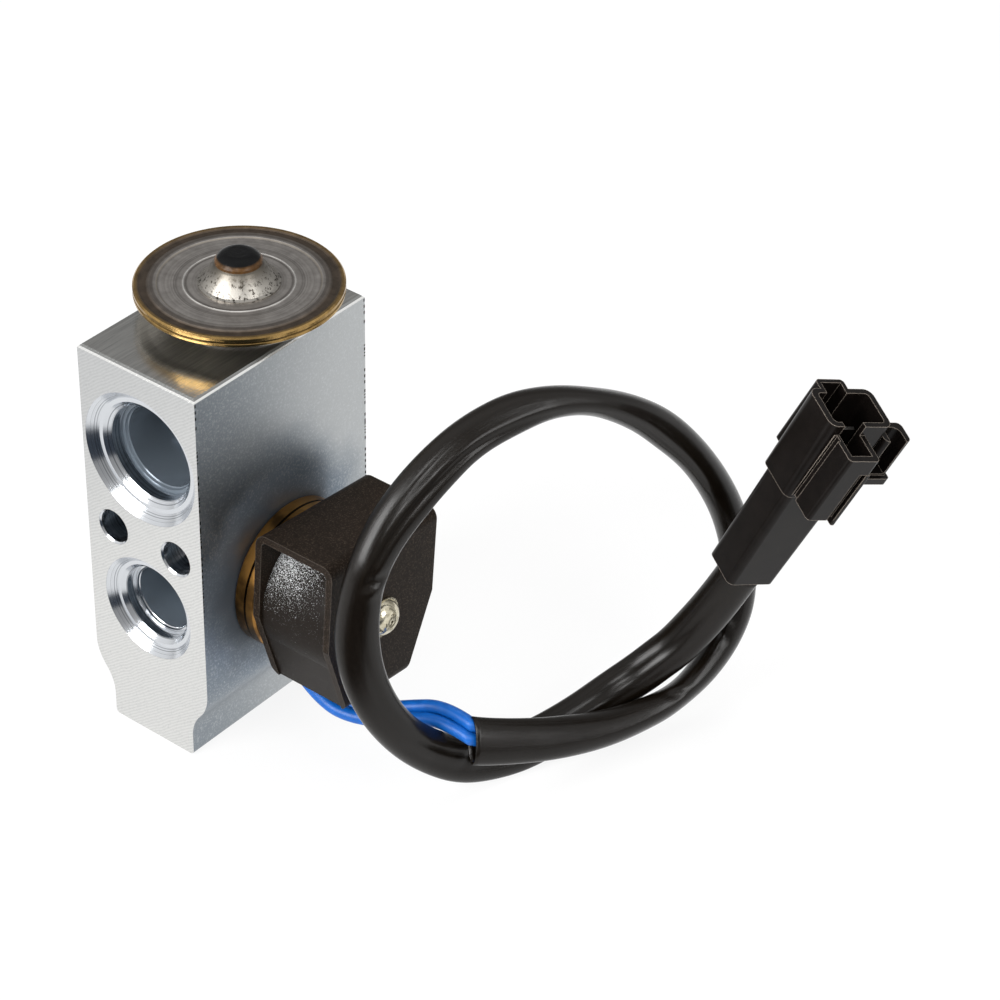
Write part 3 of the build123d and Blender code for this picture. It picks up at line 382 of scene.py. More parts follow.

# the bores' painted shade and the coil's painted reflection are made less metallic, so that their colour
# shows
painted_shade_and_reflection = add(tree, "Math", {0: deep, 1: painted_coil_reflection}, operation="MAXIMUM")
bare = add(tree, "Math", {0: 1.0, 1: where_all(tree, painted_shade_and_reflection, 0.7)}, operation="SUBTRACT")
brushed_top = add(tree, "MapRange", {0: up_face, 3: 0.42, 4: 0.2})
polished = add(tree, "Math", {0: inside, 1: bevel}, operation="MAXIMUM")
rough = add(tree, "Mix", {0: polished, 2: brushed_top, 3: 0.17})
outside = add(tree, "Math", {0: 1.0, 1: inside}, operation="SUBTRACT")
saw_height = where_all(tree, saw, outside)
brush_height = where_all(tree, up_face, 0.16)
lines = add(tree, "Bump", {"Height": saw_height, "Strength": 0.1, "Distance": 0.05 * MM})
brush = {"Height": streaks, "Strength": brush_height, "Distance": 0.05 * MM, "Normal": lines}
pits = {"Height": grain, "Strength": 0.12, "Distance": 0.05 * MM, "Normal": add(tree, "Bump", brush)}
finish_material(tree, Base_Color=metal, Metallic=bare, Roughness=rough, Normal=add(tree, "Bump", pits))
print("block finish", len(tree.nodes), "nodes")

# %% [markdown]
# ## Heat-tinted steel for the power head
# The two pressed shells are welded together at their rim. The welding heat leaves straw and brown oxide
# near the rim and grey steel inside it, so the colour here is a function of the distance from the stem
# line, with a mottle a few millimetres across and fine rings from the pressing tool.

# %% Power head shells: steel and tint
STEM_Y = 5.0


def from_stem(tree, place):
    """Distance in metres from the upright stem line: how far the place lies from it with height 0."""
    flat = add(tree, "VectorMath", {0: place, 1: (1.0, 1.0, 0.0)}, operation="MULTIPLY")
    on_line = (0.0, STEM_Y * MM, 0.0)
    return add(tree, "VectorMath", {0: flat, 1: on_line}, operation="DISTANCE").outputs["Value"]


head_metal, tree, place = new_material("heat_tinted_steel")
radius = from_stem(tree, place)
mottle = add(tree, "TexNoise", {"Vector": place, "Scale": 1 / (2.2 * MM), "Detail": 5.0, "Roughness": 0.65})
grit = add(tree, "TexNoise", {"Vector": place, "Scale": 1 / (0.35 * MM), "Detail": 2.0})
rings = add(tree, "TexNoise", {"Vector": line_place(tree, radius), "Scale": 1 / (0.9 * MM), "Detail": 3.0})
ring_swing = add(tree, "Math", {0: rings, 1: 0.45}, operation="SUBTRACT")
tint = add(tree, "MapRange", {0: radius, 1: 15.9 * MM, 2: 17.8 * MM})
tinted = paint(tree, "#332e28", (mottle, "#75675a"))
steel = paint(tree, "#7a7571", (mottle, "#c8c3be"), (where_all(tree, ring_swing, 3.2), "#4a4541"))
steel = paint(tree, steel, (tint, tinted))
print("power head steel", len(tree.nodes), "nodes")

# %% [markdown]
# ## Rings and weld of the power head
# Pressing leaves two thin ripples in the upper shell. Their glints are painted as two rings of painted
# highlight, one bright and one dull, broken in places by the mottle. The weld at the rim is straw gold
# and smoother than the rest, and the underside is painted pale as painted light. Each is a band of the
# same distance, laid over the steel.

# %% Power head shells: rings and weld
# radius and half width in millimetres, and colour of each painted highlight ring
RING_HIGHLIGHTS = ((10.7, 0.12, "#f2f0ec"), (15.75, 0.1, "#a39a8c"))

# each ring is a painted highlight along a pressed ripple, broken in places by the mottle
for ring_at, ring_half, highlight_hex in RING_HIGHLIGHTS:
    ring = band(tree, radius, (ring_at - ring_half) * MM, (ring_at + ring_half) * MM, 0.06 * MM)
    broken_by_mottle = add(tree, "Math", {0: mottle, 1: 0.1}, operation="ADD")
    steel = paint(tree, steel, (where_all(tree, ring, broken_by_mottle), highlight_hex))

gold = add(tree, "MapRange", {0: radius, 1: 19.2 * MM, 2: 19.9 * MM})
facing = add(tree, "SeparateXYZ", {0: add(tree, "NewGeometry").outputs["Normal"]}).outputs
under = add(tree, "Math", {0: facing[2], 1: -0.3}, operation="LESS_THAN")
# painted light: the underside is painted pale, so that the block's top mirrors it lighter
steel = paint(tree, steel, (gold, paint(tree, "#4a3518", (mottle, "#d0ac6e"))), (under, "#a39f98"))
rough = add(tree, "MapRange", {0: gold, 3: 0.46, 4: 0.2})
skin = add(tree, "Bump", {"Height": grit, "Strength": 0.2, "Distance": 0.05 * MM})
waves = add(tree, "Bump", {"Height": rings, "Strength": 0.3, "Distance": 0.1 * MM, "Normal": skin})
finish_material(tree, Base_Color=steel, Metallic=1.0, Roughness=rough, Normal=waves)
print("power head shells", len(tree.nodes), "nodes")

# %% [markdown]
# ## The charge boss and its seal
# The small cone is turned steel, satin and specked with rust pits, which gives the eye a soft broken
# shine. The head was filled through it, and a drop of black sealant closes it: glossy, a little lumpy,
# and brown where it meets the steel.

# %% Boss and cap
boss_metal, tree, place = new_material("satin_turned_steel")
spot = add(tree, "SeparateXYZ", {0: place}).outputs
spots = add(tree, "TexNoise", {"Vector": place, "Scale": 1 / (0.8 * MM), "Detail": 4.0, "Roughness": 0.7})
specks = add(tree, "MapRange", {0: spots, 1: 0.53, 2: 0.63})
higher = add(tree, "MapRange", {0: spot[2], 1: 94 * MM, 2: 97.6 * MM}, interpolation_type=SMOOTH)
# painted shade: the cone is painted darker towards its top
turned = paint(tree, "#a29e97", (specks, "#35302b"), (higher, "#5f5a52"))
fine = add(tree, "Bump", {"Height": spots, "Strength": 0.3, "Distance": 0.06 * MM})
finish_material(tree, Base_Color=turned, Metallic=1.0, Roughness=0.4, Normal=fine)

cap_resin, tree, place = new_material("black_glass_sealant")
lumps = add(tree, "TexNoise", {"Vector": place, "Scale": 1 / (1.2 * MM), "Detail": 3.0})
rim = band(tree, from_stem(tree, place), 4.35 * MM, 4.8 * MM, 0.3 * MM)
resin = paint(tree, "#070708", (where_all(tree, rim, lumps), "#6a4a28"))
uneven = add(tree, "Bump", {"Height": lumps, "Strength": 0.5, "Distance": 0.15 * MM})
finish_material(tree, Base_Color=resin, Roughness=0.28, Specular_IOR_Level=0.15, Normal=uneven)
print("boss and cap finishes 2")

# %% [markdown]
# ## Oiled black sheet for the yoke
# The yoke is sheet steel, blackened and oiled: dark brown and satin, with dust in its grain and a
# painted highlight along its sheared edges. An edge is found by comparing the true surface with one
# whose edges are rounded: where the two differ, there is an edge.

# %% Yoke
def edge_share(tree, width):
    """1 at edges and 0 on flats: how far a rounded copy of the normal turns from the true one."""
    rounded = add(tree, "Bevel", {"Radius": width}, samples=6)
    true = add(tree, "NewGeometry").outputs["Normal"]
    near = add(tree, "VectorMath", {0: rounded, 1: true}, operation="DOT_PRODUCT").outputs["Value"]
    return add(tree, "MapRange", {0: near, 1: 0.995, 2: 0.86})


yoke_metal, tree, place = new_material("oiled_black_sheet_steel")
fog = add(tree, "TexNoise", {"Vector": place, "Scale": 1 / (3 * MM), "Detail": 5.0})
dust = add(tree, "TexNoise", {"Vector": place, "Scale": 1 / (0.3 * MM), "Detail": 2.0})
dusty = add(tree, "MapRange", {0: dust, 1: 0.5, 2: 0.7}, interpolation_type=SMOOTH)
# painted highlight along the sheet's edges
sheet_edge_highlight = where_all(tree, edge_share(tree, 0.22 * MM), 0.35)
sheet = paint(tree, "#130d08", (fog, "#1e160f"), (dusty, "#3a3129"), (sheet_edge_highlight, "#706a62"))
skin = add(tree, "Bump", {"Height": dust, "Strength": 0.18, "Distance": 0.05 * MM})
finish_material(tree, Base_Color=sheet, Roughness=0.45, Specular_IOR_Level=0.1, Normal=skin)
print("yoke finish", len(tree.nodes), "nodes")

# %% [markdown]
# ## The coil's moulding
# The coil is moulded in a rough tool, which leaves thousands of tiny flats that catch the lamp. One
# alone is too small to show, so the glints are painted into the colour as specks of 0.22 mm, coarser
# than real ones: painted highlights. A threshold that drops towards the upper front paints more of
# them there, as painted light.

# %% Coil
coil_plastic, tree, place = new_material("grained_coil_moulding")
spot = add(tree, "SeparateXYZ", {0: place}).outputs
grain = add(tree, "TexNoise", {"Vector": place, "Scale": 1 / (0.4 * MM), "Detail": 3.0})
glints = add(tree, "TexNoise", {"Vector": place, "Scale": 1 / (0.22 * MM), "Detail": 2.0, "Roughness": 0.8})
# painted light: more painted glints towards the upper front
higher = add(tree, "MapRange", {0: spot[2], 1: 33 * MM, 2: 50 * MM}, interpolation_type=SMOOTH)
nearer = add(tree, "MapRange", {0: spot[0], 1: 40 * MM, 2: 24 * MM}, interpolation_type=SMOOTH)
threshold = add(tree, "MapRange", {0: where_all(tree, higher, nearer), 3: 0.69, 4: 0.44})
above = add(tree, "Math", {0: glints, 1: threshold}, operation="SUBTRACT")
glint = add(tree, "MapRange", {0: above, 1: 0.0, 2: 0.08}, interpolation_type=SMOOTH)
plastic = paint(tree, "#0d0a08", (grain, "#201a15"), (glint, "#c3c5c6"))
bumps = add(tree, "Bump", {"Height": glints, "Strength": 0.5, "Distance": 0.1 * MM})
finish_material(tree, Base_Color=plastic, Roughness=0.42, Specular_IOR_Level=0.1, Normal=bumps)
print("coil finish", len(tree.nodes), "nodes")

# %% [markdown]
# ## The collar and the screw
# The collar is steel with a yellow chromate coat: brown and gold in patches of some 6 mm, with its ring
# groove dark. The screw is bright with zinc, a little worn, and its cross slot is dark brown.

# %% Collar and screw
GROOVE_X = (17.55 * MM, 18.05 * MM)
SLOT_AT = (40.4 * MM, 0.0, 35.0 * MM)
SLOT_REACH = 2.05 * MM
HEAD_FACE_X = 41.3 * MM

collar_metal, tree, place = new_material("yellow_chromate_steel")
spot = add(tree, "SeparateXYZ", {0: place}).outputs
patch = add(tree, "TexNoise", {"Vector": place, "Scale": 1 / (6 * MM), "Detail": 3.0})
golden = add(tree, "MapRange", {0: patch, 1: 0.35, 2: 0.65}, interpolation_type=SMOOTH)
groove = band(tree, spot[0], *GROOVE_X, 0.05 * MM)
chromate = paint(tree, "#5c4326", (golden, "#b58446"), (groove, "#1a130b"))
skin = add(tree, "Bump", {"Height": patch, "Strength": 0.2, "Distance": 0.1 * MM})
finish_material(tree, Base_Color=chromate, Metallic=1.0, Roughness=0.34, Normal=skin)

screw_metal, tree, place = new_material("bright_zinc")
spot = add(tree, "SeparateXYZ", {0: place}).outputs
patch = add(tree, "TexNoise", {"Vector": place, "Scale": 1 / (0.9 * MM), "Detail": 3.0})
below_face = add(tree, "Math", {0: spot[0], 1: HEAD_FACE_X}, operation="LESS_THAN")
from_slot = add(tree, "VectorMath", {0: place, 1: SLOT_AT}, operation="DISTANCE").outputs["Value"]
within_slot = add(tree, "Math", {0: from_slot, 1: SLOT_REACH}, operation="LESS_THAN")
recess = where_all(tree, below_face, within_slot)
zinc = paint(tree, "#9d9378", (patch, "#f4eed8"), (recess, "#4a3418"))
wear = add(tree, "Bump", {"Height": patch, "Strength": 0.35, "Distance": 0.12 * MM})
finish_material(tree, Base_Color=zinc, Metallic=1.0, Roughness=0.2, Normal=wear)
print("collar and screw finishes 2")

# %% [markdown]
# ## The lead's plastics
# The wires' blue insulation is pressed round the copper as a hot paste, which leaves it smooth, with one
# soft glint along it. The sleeve is soft PVC tube made the same way: black-brown and shiny, with faint
# light lines along its length that are painted highlights, so its pattern follows the sleeve's own map
# and not the room. The connector is moulded nylon, which comes out dark and satin, with a painted
# highlight along its edges.

# %% Wire, sleeve and connector
wire_skin, tree, place = new_material("blue_wire_insulation")
smears = add(tree, "TexNoise", {"Vector": place, "Scale": 1 / (1.5 * MM), "Detail": 3.0})
blue = paint(tree, "#064a94", (smears, "#0d62bb"))
ripple = add(tree, "Bump", {"Height": smears, "Strength": 0.15, "Distance": 0.1 * MM})
finish_material(tree, Base_Color=blue, Roughness=0.38, Specular_IOR_Level=0.35, Normal=ripple)

sleeve_skin, tree, place = new_material("soft_black_sleeve")
stretched = add(tree, "Mapping", {"Vector": add(tree, "UVMap"), "Scale": (0.03, 1.0, 1.0)})
draw = add(tree, "TexNoise", {"Vector": stretched, "Scale": 900.0, "Detail": 3.0})
grain = add(tree, "TexNoise", {"Vector": place, "Scale": 1 / (0.35 * MM), "Detail": 2.0})
# painted highlights: light lines along the sleeve
painted_streak_light = add(tree, "Math", {0: draw, 1: 0.55}, operation="SUBTRACT")
soft = paint(tree, "#070503", (grain, "#120d08"), (painted_streak_light, "#3a3128"))
drawn = add(tree, "Bump", {"Height": draw, "Strength": 0.25, "Distance": 0.08 * MM})
skin = add(tree, "Bump", {"Height": grain, "Strength": 0.2, "Distance": 0.05 * MM, "Normal": drawn})
gloss = {"Coat_Weight": 0.35, "Coat_Roughness": 0.12, "Coat_IOR": 1.3}
finish_material(tree, Base_Color=soft, Roughness=0.2, Specular_IOR_Level=0.22, Normal=skin, **gloss)

connector_skin, tree, place = new_material("black_moulded_nylon")
flow = add(tree, "TexNoise", {"Vector": place, "Scale": 1 / (2.5 * MM), "Detail": 4.0})
grain = add(tree, "TexNoise", {"Vector": place, "Scale": 1 / (0.3 * MM), "Detail": 2.0})
# painted highlight along the connector's edges
nylon_edge_highlight = where_all(tree, edge_share(tree, 0.28 * MM), 0.75)
nylon = paint(tree, "#080605", (flow, "#161210"), (nylon_edge_highlight, "#8f857b"))
skin = add(tree, "Bump", {"Height": grain, "Strength": 0.2, "Distance": 0.05 * MM})
finish_material(tree, Base_Color=nylon, Roughness=0.3, Specular_IOR_Level=0.14, Normal=skin)
print("lead finishes 3")

# %% [markdown]
# ## Finishes of the inner pieces
# Springs, stem, seals and winding are hidden in the closed valve, but each has its own finish, so that
# the part still looks right when someone cuts it open.

# %% Inner finishes
def inner_finish(name, dark, light, grain_mm, **sockets):
    """A two-tone mottled finish with a fine bump, for pieces that are mostly hidden."""
    made, tree, place = new_material(name)
    noise = add(tree, "TexNoise", {"Vector": place, "Scale": 1 / (grain_mm * MM), "Detail": 3.0})
    skin = add(tree, "Bump", {"Height": noise, "Strength": 0.2, "Distance": 0.05 * MM})
    finish_material(tree, Base_Color=paint(tree, dark, (noise, light)), Normal=skin, **sockets)
    return made


# turned on a lathe and left bare, which gives an even grey shine
turned_steel = inner_finish("turned_steel", "#8d8d8c", "#c6c6c4", 0.5, Metallic=1.0, Roughness=0.28)
# drawn through a die, so it is smooth and shines in lines
spring_wire = inner_finish("spring_steel_wire", "#76777a", "#b4b5b7", 0.6, Metallic=1.0, Roughness=0.25)
# pressed in a matt mould: black with hardly a highlight
seal_rubber = inner_finish("black_seal_rubber", "#0e0e0f", "#232324", 0.4, Roughness=0.62)
# moulded nylon with a dark filler: brown-black and satin
bobbin_nylon = inner_finish("filled_bobbin_nylon", "#26241f", "#3b382f", 0.8, Roughness=0.5)
# copper wire under clear lacquer, which deepens its red
coil_copper = inner_finish("lacquered_copper", "#7a3f1a", "#b8703c", 0.3, Metallic=1.0, Roughness=0.3)
# brass dipped in tin: pale grey and soft-edged in its shine
tinned_brass = inner_finish("tinned_brass", "#a3a29c", "#d2d1cb", 0.5, Metallic=1.0, Roughness=0.3)
print("inner finishes 6")

# %% [markdown]
# ## Every solid gets its finish
# The solids keep their shapes, and only their material slots are set. The sleeve, the wires and the two
# wound springs are missing from the table, because surfaces built below stand in their place.

# %% Finishes on the solids
FINISHES = {
    block_metal: ["valve_block"],
    head_metal: ["head_lower_shell", "head_upper_shell"],
    boss_metal: ["charge_boss"],
    cap_resin: ["charge_cap"],
    yoke_metal: ["coil_yoke"],
    coil_plastic: ["coil_body"],
    collar_metal: ["solenoid_collar"],
    screw_metal: ["coil_screw", "coil_screw_washer"],
    connector_skin: ["connector_housing"],
    turned_steel: [
        "thrust_plate", "sensing_rod", "valve_ball", "ball_carrier",
        "adjusting_screw", "plunger_tube", "fixed_core", "plunger",
    ],
    spring_wire: ["diaphragm"],
    seal_rubber: [
        "head_seal_ring", "rod_o_ring", "adjusting_screw_o_ring", "collar_o_ring", "plunger_seat_pad",
    ],
    bobbin_nylon: ["coil_bobbin"],
    coil_copper: ["coil_winding"],
    tinned_brass: ["terminal_1", "terminal_2"],
}
for finish, names in FINISHES.items():
    for name in names:
        mesh = nodes[name].data
        mesh.materials.clear()
        mesh.materials.append(finish)
print("finished nodes", sum(len(names) for names in FINISHES.values()))

# %% [markdown]
# ## The route of the lead
# A lead is first a line. Here that line is given by the points that the solid sleeve bends round, in
# millimetres. The two wires share one route, and a second table says how far each lies from it, one on
# either side.

# %% Routes in millimetres
SLEEVE_ROUTE = [
    (61.0, 1.6, 14.4), (68.4, 12.2, 9.4), (75.0, 29.5, 4.8), (80.8, 47.0, 6.4), (82.0, 61.5, 18.5),
    (78.2, 65.0, 37.5), (72.6, 56.4, 58.0), (65.8, 41.8, 74.0), (57.2, 22.8, 80.6), (49.8, 3.2, 75.0),
    (45.5, -11.5, 59.0), (46.2, -16.0, 38.0), (51.2, -9.8, 17.6), (58.2, 6.6, 3.8), (63.4, 25.4, 4.0),
    (69.6, 41.6, 11.2), (79.6, 49.7, 22.3), (86.5, 52.9, 38.4),
]
WIRE_ROUTE = [
    (22.8, -5.1, 18.0), (29.0, -5.1, 12.2), (38.2, -4.2, 12.3), (46.0, -0.5, 14.8), (53.1, 2.6, 16.6),
    (60.0, 2.6, 15.4),
]
WIRE_APART = [
    (0.0, 1.5, 0.0), (0.0, 1.5, 0.0), (-0.2, 1.45, 0.3), (-0.6, 1.2, 0.7), (-0.4, 1.1, 1.0),
    (-0.3, 0.7, 1.25),
]
print("route points", len(SLEEVE_ROUTE), "and", len(WIRE_ROUTE))

# %% [markdown]
# ## From points to a smooth line
# Straight pieces between the points would kink. They are the control points of a NURBS spline instead,
# which stays near them and bends evenly. Blender turns the spline into a row of close points, and every
# surface of the lead is then carried along such a row.

# %% Smooth lines
def route_points(name, points_mm, steps):
    """Points along a NURBS spline whose control points are given in millimetres, in metres."""
    curve = bpy.data.curves.new(name, "CURVE")
    curve.dimensions = "3D"
    spline = curve.splines.new("NURBS")
    spline.points.add(len(points_mm) - 1)
    for target, point in zip(spline.points, points_mm):
        target.co = (point[0] * MM, point[1] * MM, point[2] * MM, 1.0)
    spline.order_u = 3
    spline.use_endpoint_u = True
    spline.resolution_u = steps
    carrier = bpy.data.objects.new(name, curve)
    line = bpy.data.meshes.new_from_object(carrier)
    found = np.empty(len(line.vertices) * 3)
    line.vertices.foreach_get("co", found)
    bpy.data.objects.remove(carrier)
    bpy.data.meshes.remove(line)
    return found.reshape(-1, 3)


def line_length(points):
    """Sum of the distances between neighbouring points."""
    return float(np.linalg.norm(np.diff(points, axis=0), axis=1).sum())


sleeve_line = route_points("sleeve_route", SLEEVE_ROUTE, 26)
wire_lines = [
    route_points(f"wire_route_{number}", np.array(WIRE_ROUTE) + side * np.array(WIRE_APART), 20)
    for number, side in ((1, 1), (2, -1))
]
print("sleeve line", len(sleeve_line), "points", round(line_length(sleeve_line), 4), "m")

# %% [markdown]
# ## Surfaces carried along a line
# A tube is a function of two parameters: how far along the line, and where round the section. Blender
# can carry one profile along a curve by itself, but the section of this pressed sleeve changes all the
# way, so its rows of points are worked out here, and one helper turns rows into a closed skin.

# %% Grid surfaces
def grid_mesh(name, grid):
    """A closed skin from rows of points: quads between rows, joined round, and one face at each end."""
    rows, around = grid.shape[:2]
    row, col = np.meshgrid(np.arange(rows - 1), np.arange(around), indexing="ij")
    a = row * around + col
    b = row * around + (col + 1) % around
    faces = np.stack([a, b, b + around, a + around], axis=-1).reshape(-1, 4).tolist()
    faces.append(list(range(around))[::-1])
    faces.append([(rows - 1) * around + i for i in range(around)])
    mesh = bpy.data.meshes.new(name)
    mesh.from_pydata(grid.reshape(-1, 3).tolist(), [], faces)
    mesh.validate()
    mesh.polygons.foreach_set("use_smooth", np.ones(len(mesh.polygons), dtype=bool))
    uv = mesh.uv_layers.new(name="UVMap")
    corner = np.empty(len(mesh.loops), dtype=np.int32)
    mesh.loops.foreach_get("vertex_index", corner)
    flat = np.stack([corner // around / rows, corner % around / around], axis=-1)
    uv.data.foreach_set("uv", flat.astype(np.float32).ravel())
    obj = bpy.data.objects.new(name, mesh)
    bpy.context.scene.collection.objects.link(obj)
    return obj


def dress(name, grid, finish, node):
    """A skin from rows of points, which stands for a solid of the still body and has its finish."""
    skin = grid_mesh(name, grid)
    skin.data.materials.append(finish)
    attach(skin, "valve")
    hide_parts(node)
    return skin


def unit(rows):
    """Rows of vectors scaled to length one."""
    return rows / np.linalg.norm(rows, axis=1, keepdims=True)


def headings(points):
    """Unit direction of travel at each point, from its two neighbours."""
    return unit(np.gradient(points, axis=0))


def bump_at(where, centre, width):
    """A smooth hill of height one: e to the minus square of the distance over the width."""
    return np.exp(-((where - centre) / width) ** 2)


print("the sleeve starts towards", [round(float(v), 2) for v in headings(sleeve_line)[0]])

# %% [markdown]
# ## The sleeve's widths
# On the real lead a thin soft tube was pressed flat by its packing. It is some 9 mm wide and 5 mm thick,
# and it turns on edge where the loop leans. Its skin keeps its girth, so where it is narrow it is thick.
# The widths on both sides of the line were measured on the photograph. Two directions go with them,
# across the tube and through it: they come from the line's heading and one fixed direction, so the flat
# side of the sleeve keeps facing the same way.

# %% Sleeve widths
GIRTH_RADIUS = 5.0
THINNEST_HALF = 2.3
TOWARDS_VIEW = np.array([0.49921, -0.63770, 0.58662])

# place along the sleeve, half width on its outer side and on its inner side, all in millimetres
HALF_WIDTHS = np.array([
    (0, 4.9, 4.6), (12, 3.5, 5.4), (22, 2.5, 5.8), (40, 1.5, 4.9), (50, 1.3, 4.1), (60, 2.1, 4.2),
    (72, 3.1, 4.0), (90, 3.1, 3.8), (110, 3.5, 3.4), (122, 3.9, 3.6), (134, 3.6, 2.6), (142, 3.5, 1.8),
    (150, 4.1, 2.2), (158, 4.7, 3.3), (168, 4.5, 3.7), (176, 4.1, 4.6), (184, 4.0, 4.8), (201, 4.0, 3.8),
    (215, 4.7, 4.0), (238, 4.6, 3.7), (248, 5.0, 3.8), (257, 5.5, 4.0), (265, 5.1, 4.0), (273, 5.5, 3.6),
    (285, 4.8, 3.4), (300, 5.4, 3.2), (315, 4.6, 4.2), (333, 4.3, 4.3),
])

path = sleeve_line
run = np.concatenate([[0.0], np.cumsum(np.linalg.norm(np.diff(path, axis=0), axis=1))]) / MM
heading = headings(path)
wide = unit(np.cross(heading, TOWARDS_VIEW))
thin = np.cross(wide, heading)


def smooth_table(column, blur=9):
    """One column of the width table along the run, rounded off by a sliding mean."""
    exact = np.interp(run, HALF_WIDTHS[:, 0], HALF_WIDTHS[:, column])
    return np.convolve(np.pad(exact, blur // 2, mode="edge"), np.ones(blur) / blur, mode="valid")


outer_half = smooth_table(1)
inner_half = smooth_table(2)
half_width = (outer_half + inner_half) / 2
half_depth = np.sqrt(np.maximum(GIRTH_RADIUS ** 2 - half_width ** 2, THINNEST_HALF ** 2))
sideways = (outer_half - inner_half) / 2
print("sleeve widths", round(2 * half_width.min(), 1), "to", round(2 * half_width.max(), 1), "mm")

# %% [markdown]
# ## Folds and creases
# A pressed tube has a few sharp folds where it was bent too far, and long creases where its two walls
# meet. Both are dents in the thickness: a fold is a short hill set across the tube, a crease a narrow
# one that runs along it. They are cut into the skin itself and not painted as a bump, because their
# edges show against the light floor.

# %% Folds and creases of the sleeve
# folds at one edge, in mm: place along, slant across, depth, length, and the edge they start from
FOLDS = [
    (201.6, 0.6, 1.9, 1.3, -0.9), (257.2, -0.9, 0.7, 1.2, -0.4), (65.3, -0.6, 0.9, 1.2, -0.5),
    (48.0, 0.8, 0.5, 1.4, -0.3),
]
# creases: where each starts and ends along the sleeve, its place across at both ends, its depth
CREASES = [
    (148.0, 202.0, -0.72, -0.25, 0.95), (168.0, 200.0, 0.25, -0.05, 0.4),
    (104.0, 140.0, -0.5, -0.62, 0.8), (52.0, 84.0, -0.35, -0.6, 0.7),
    (215.0, 326.0, -0.35, -0.1, 0.5), (240.0, 320.0, 0.35, 0.5, 0.45),
]
HALF_ACROSS = 4.0
FOLD_SPREAD = 0.6
CREASE_SPREAD = 0.13


def dents(x, far):
    """Depth of all folds and creases at the places x across and far along, in millimetres."""
    depth_here = np.zeros_like(x)
    for at, slant, depth, length, edge in FOLDS:
        crest = at + slant * HALF_ACROSS * x
        hill = bump_at(far, crest, length) - 0.6 * bump_at(far, crest + 2 * length, length)
        depth_here = depth_here + depth * hill * bump_at(x, edge, FOLD_SPREAD)
    for start, end, place_1, place_2, depth in CREASES:
        share = np.clip((far - start) / (end - start), 0.0, 1.0)
        hold = np.sin(np.pi * share) ** 0.5
        middle = place_1 + (place_2 - place_1) * share
        groove = bump_at(x, middle, CREASE_SPREAD) - 0.45 * bump_at(x, middle + 0.3, 0.2)
        depth_here = depth_here + depth * hold * groove
    return depth_here


print("deepest dent", round(float(dents(np.linspace(-1, 1, 41), run[:, None]).max()), 1), "mm")

# %% [markdown]
# ## The sleeve's skin
# Each row is an ellipse whose edges are pinched, since the walls of a flat tube meet in a seam there.
# At the open end the skin turns back inside, so that the mouth shows a wall.

# %% Flattened sleeve
WALL_THICK = 0.45
AROUND = 48
MOUTH_DEPTH = 9.0
MOUTH_SLANT = 0.9
MOUTH_FADE = 6.0
PINCH = 1.15
DENT_SHARE = 0.6

angle = np.linspace(0, 2 * np.pi, AROUND, endpoint=False)


def sleeve_rows(index, shrink):
    """Rows of the sleeve: centre + wide * x + thin * y, an ellipse pinched at its edges, less the dents."""
    x = np.cos(angle)[None, :] * np.ones((len(index), 1))
    y = np.sign(np.sin(angle)) * np.abs(np.sin(angle)) ** PINCH
    y = y[None, :] * (1.0 - 0.08 * bump_at(x, 0.0, 0.45))
    far = run[index][:, None]
    half_x = (half_width[index][:, None] - shrink) * MM
    half_y = (half_depth[index][:, None] - shrink - dents(x, far) * DENT_SHARE) * MM
    slide = sideways[index][:, None] * MM
    cut = MOUTH_SLANT * MM * x * np.exp(-far / MOUTH_FADE)
    return (
        path[index][:, None, :]
        + wide[index][:, None, :] * (half_x * x + slide)[:, :, None]
        + thin[index][:, None, :] * (half_y * y)[:, :, None]
        + heading[index][:, None, :] * cut[:, :, None]
    )


inner_count = int(np.searchsorted(run, MOUTH_DEPTH))
inner = sleeve_rows(np.arange(inner_count, -1, -1), WALL_THICK)
outer = sleeve_rows(np.arange(len(path)), 0.0)
skin_rows = np.concatenate([inner, outer])
skin_rows[..., 2] = np.maximum(skin_rows[..., 2], 0.0)  # the floor presses the loop's lowest spot flat
sleeve = dress("lead_sleeve_skin", skin_rows, sleeve_skin, "lead_sleeve")
print("sleeve", len(sleeve.data.polygons), "faces")

# %% [markdown]
# ## The two wires
# Both wires leave the coil side by side, drop under the yoke and run into the sleeve's open end. Each is
# a round tube carried along its own route. They lean together until they touch, and each reaches a
# little way into the sleeve, turning towards its middle.

# %% Wires
WIRE_R = 1.35 * MM
TAIL = 3.0 * MM
WIRE_AROUND = 24
TOWARDS_MIDDLE = 0.25

ring = np.linspace(0, 2 * np.pi, WIRE_AROUND, endpoint=False)[None, :, None]
steps = np.linspace(0.0, 1.0, 9)[1:, None]
for number, line in enumerate(wire_lines, start=1):
    to_other = wire_lines[2 - number] - line
    apart = np.linalg.norm(to_other, axis=1, keepdims=True)
    closed = line + to_other / apart * np.maximum(apart - 2 * WIRE_R, 0.0) / 2
    side_step = (path[0] - closed[-1]) @ wide[0] * wide[0] * TOWARDS_MIDDLE
    tail = closed[-1] + heading[0] * TAIL * steps + side_step * steps ** 2
    reach = np.concatenate([closed, tail])
    way = headings(reach)
    side = unit(np.cross(way, (0.0, 0.0, 1.0)))
    lift = np.cross(side, way)
    rows = reach[:, None, :] + WIRE_R * (np.cos(ring) * side[:, None, :] + np.sin(ring) * lift[:, None, :])
    wire = dress(f"lead_wire_skin_{number}", rows, wire_skin, f"lead_wire_{number}")
print("wires", len(wire_lines), "lengths", [round(line_length(line), 4) for line in wire_lines])
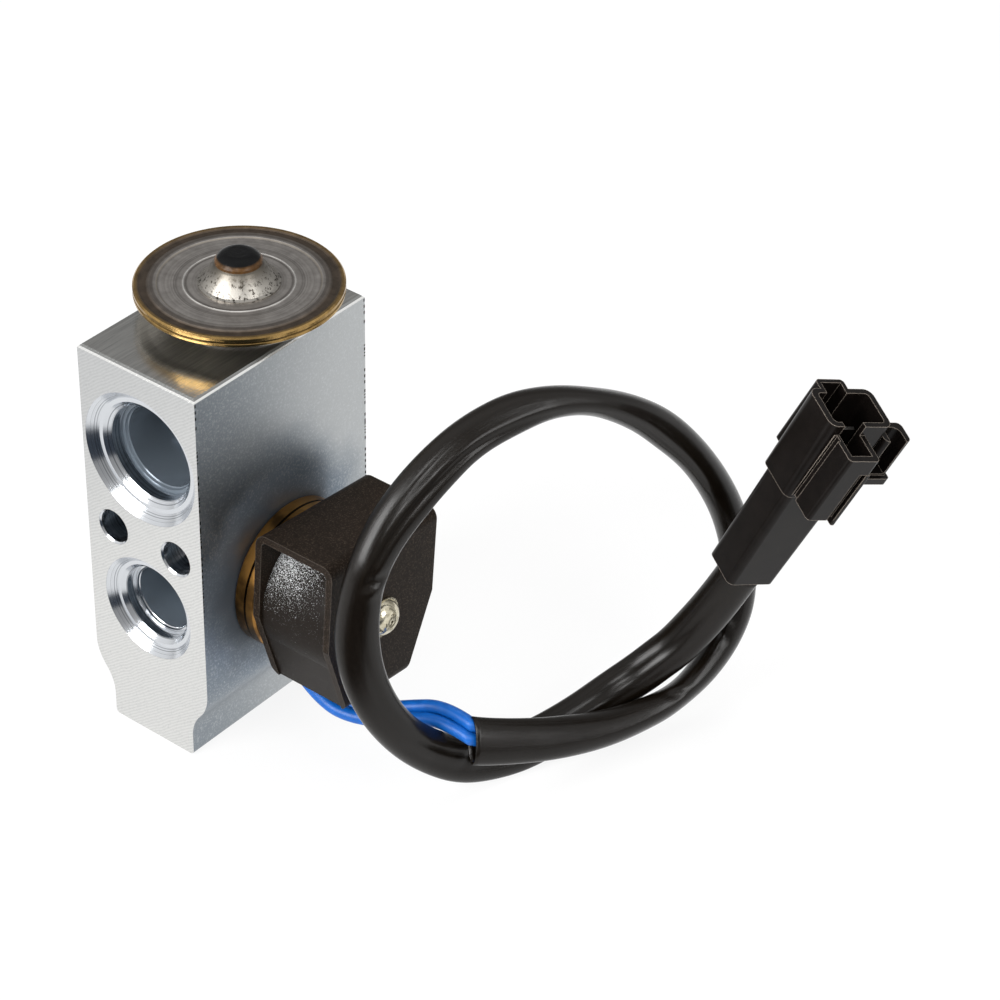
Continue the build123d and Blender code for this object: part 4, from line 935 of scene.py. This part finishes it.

# %% [markdown]
# ## The length of the sleeve
# The length of the sleeve is the sum of the steps along its line.

# %% Length of the sleeve
print("sleeve cord", round(line_length(path), 4), "m")

# %% [markdown]
# ## Springs that shorten
# ## Wound springs
# Two wound springs are hidden inside, one under the ball carrier and one behind the plunger. The middle
# of the wire is a circle that climbs steadily, and the wire is a small circle carried along it. A solid
# can't shorten, so they are made here as skins.

# %% Wound springs
TURNS = 4
SPRING_AROUND = 12
# length, radius of the wire's middle line, radius of the wire
VALVE_SPRING = (15.4, 3.2, 0.45)
PLUNGER_SPRING = (9.8, 1.8, 0.25)


def spring_rows(length, mean_r, wire_r):
    """Line (cos t, sin t) * mean_r climbing with t, plus a circle of wire across its heading."""
    turn = np.linspace(0.0, 2 * np.pi * TURNS, 30 * TURNS + 1)[:, None]
    out = np.hstack([np.cos(turn), np.sin(turn), 0 * turn])
    climb = wire_r + (length - 2 * wire_r) * turn / turn[-1]
    line = out * mean_r + np.hstack([0 * turn, 0 * turn, climb])
    over = np.cross(out, headings(line))
    ring = np.linspace(0, 2 * np.pi, SPRING_AROUND, endpoint=False)[None, :, None]
    return line[:, None, :] + wire_r * (np.cos(ring) * out[:, None, :] + np.sin(ring) * over[:, None, :])


# the valve spring stands on the adjusting screw, and the ball carrier comes down on it
upright = spring_rows(*VALVE_SPRING)
foot = np.array([0.0, STEM_Y, 15.2])
valve_spring = dress("valve_spring_skin", (upright + foot) * MM, spring_wire, "valve_spring")
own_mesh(valve_spring)

# the plunger spring lies along the coil, and the plunger comes towards the core behind it
lying = spring_rows(*PLUNGER_SPRING)
lying = np.stack([lying[..., 2], lying[..., 1], -lying[..., 0]], axis=-1)
pocket = np.array([21.2, 0.0, 35.0])
plunger_spring = dress(
    "plunger_spring_skin", (lying + pocket) * MM, spring_wire, "plunger_spring"
)
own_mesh(plunger_spring)
print("springs 2 of", TURNS, "turns")
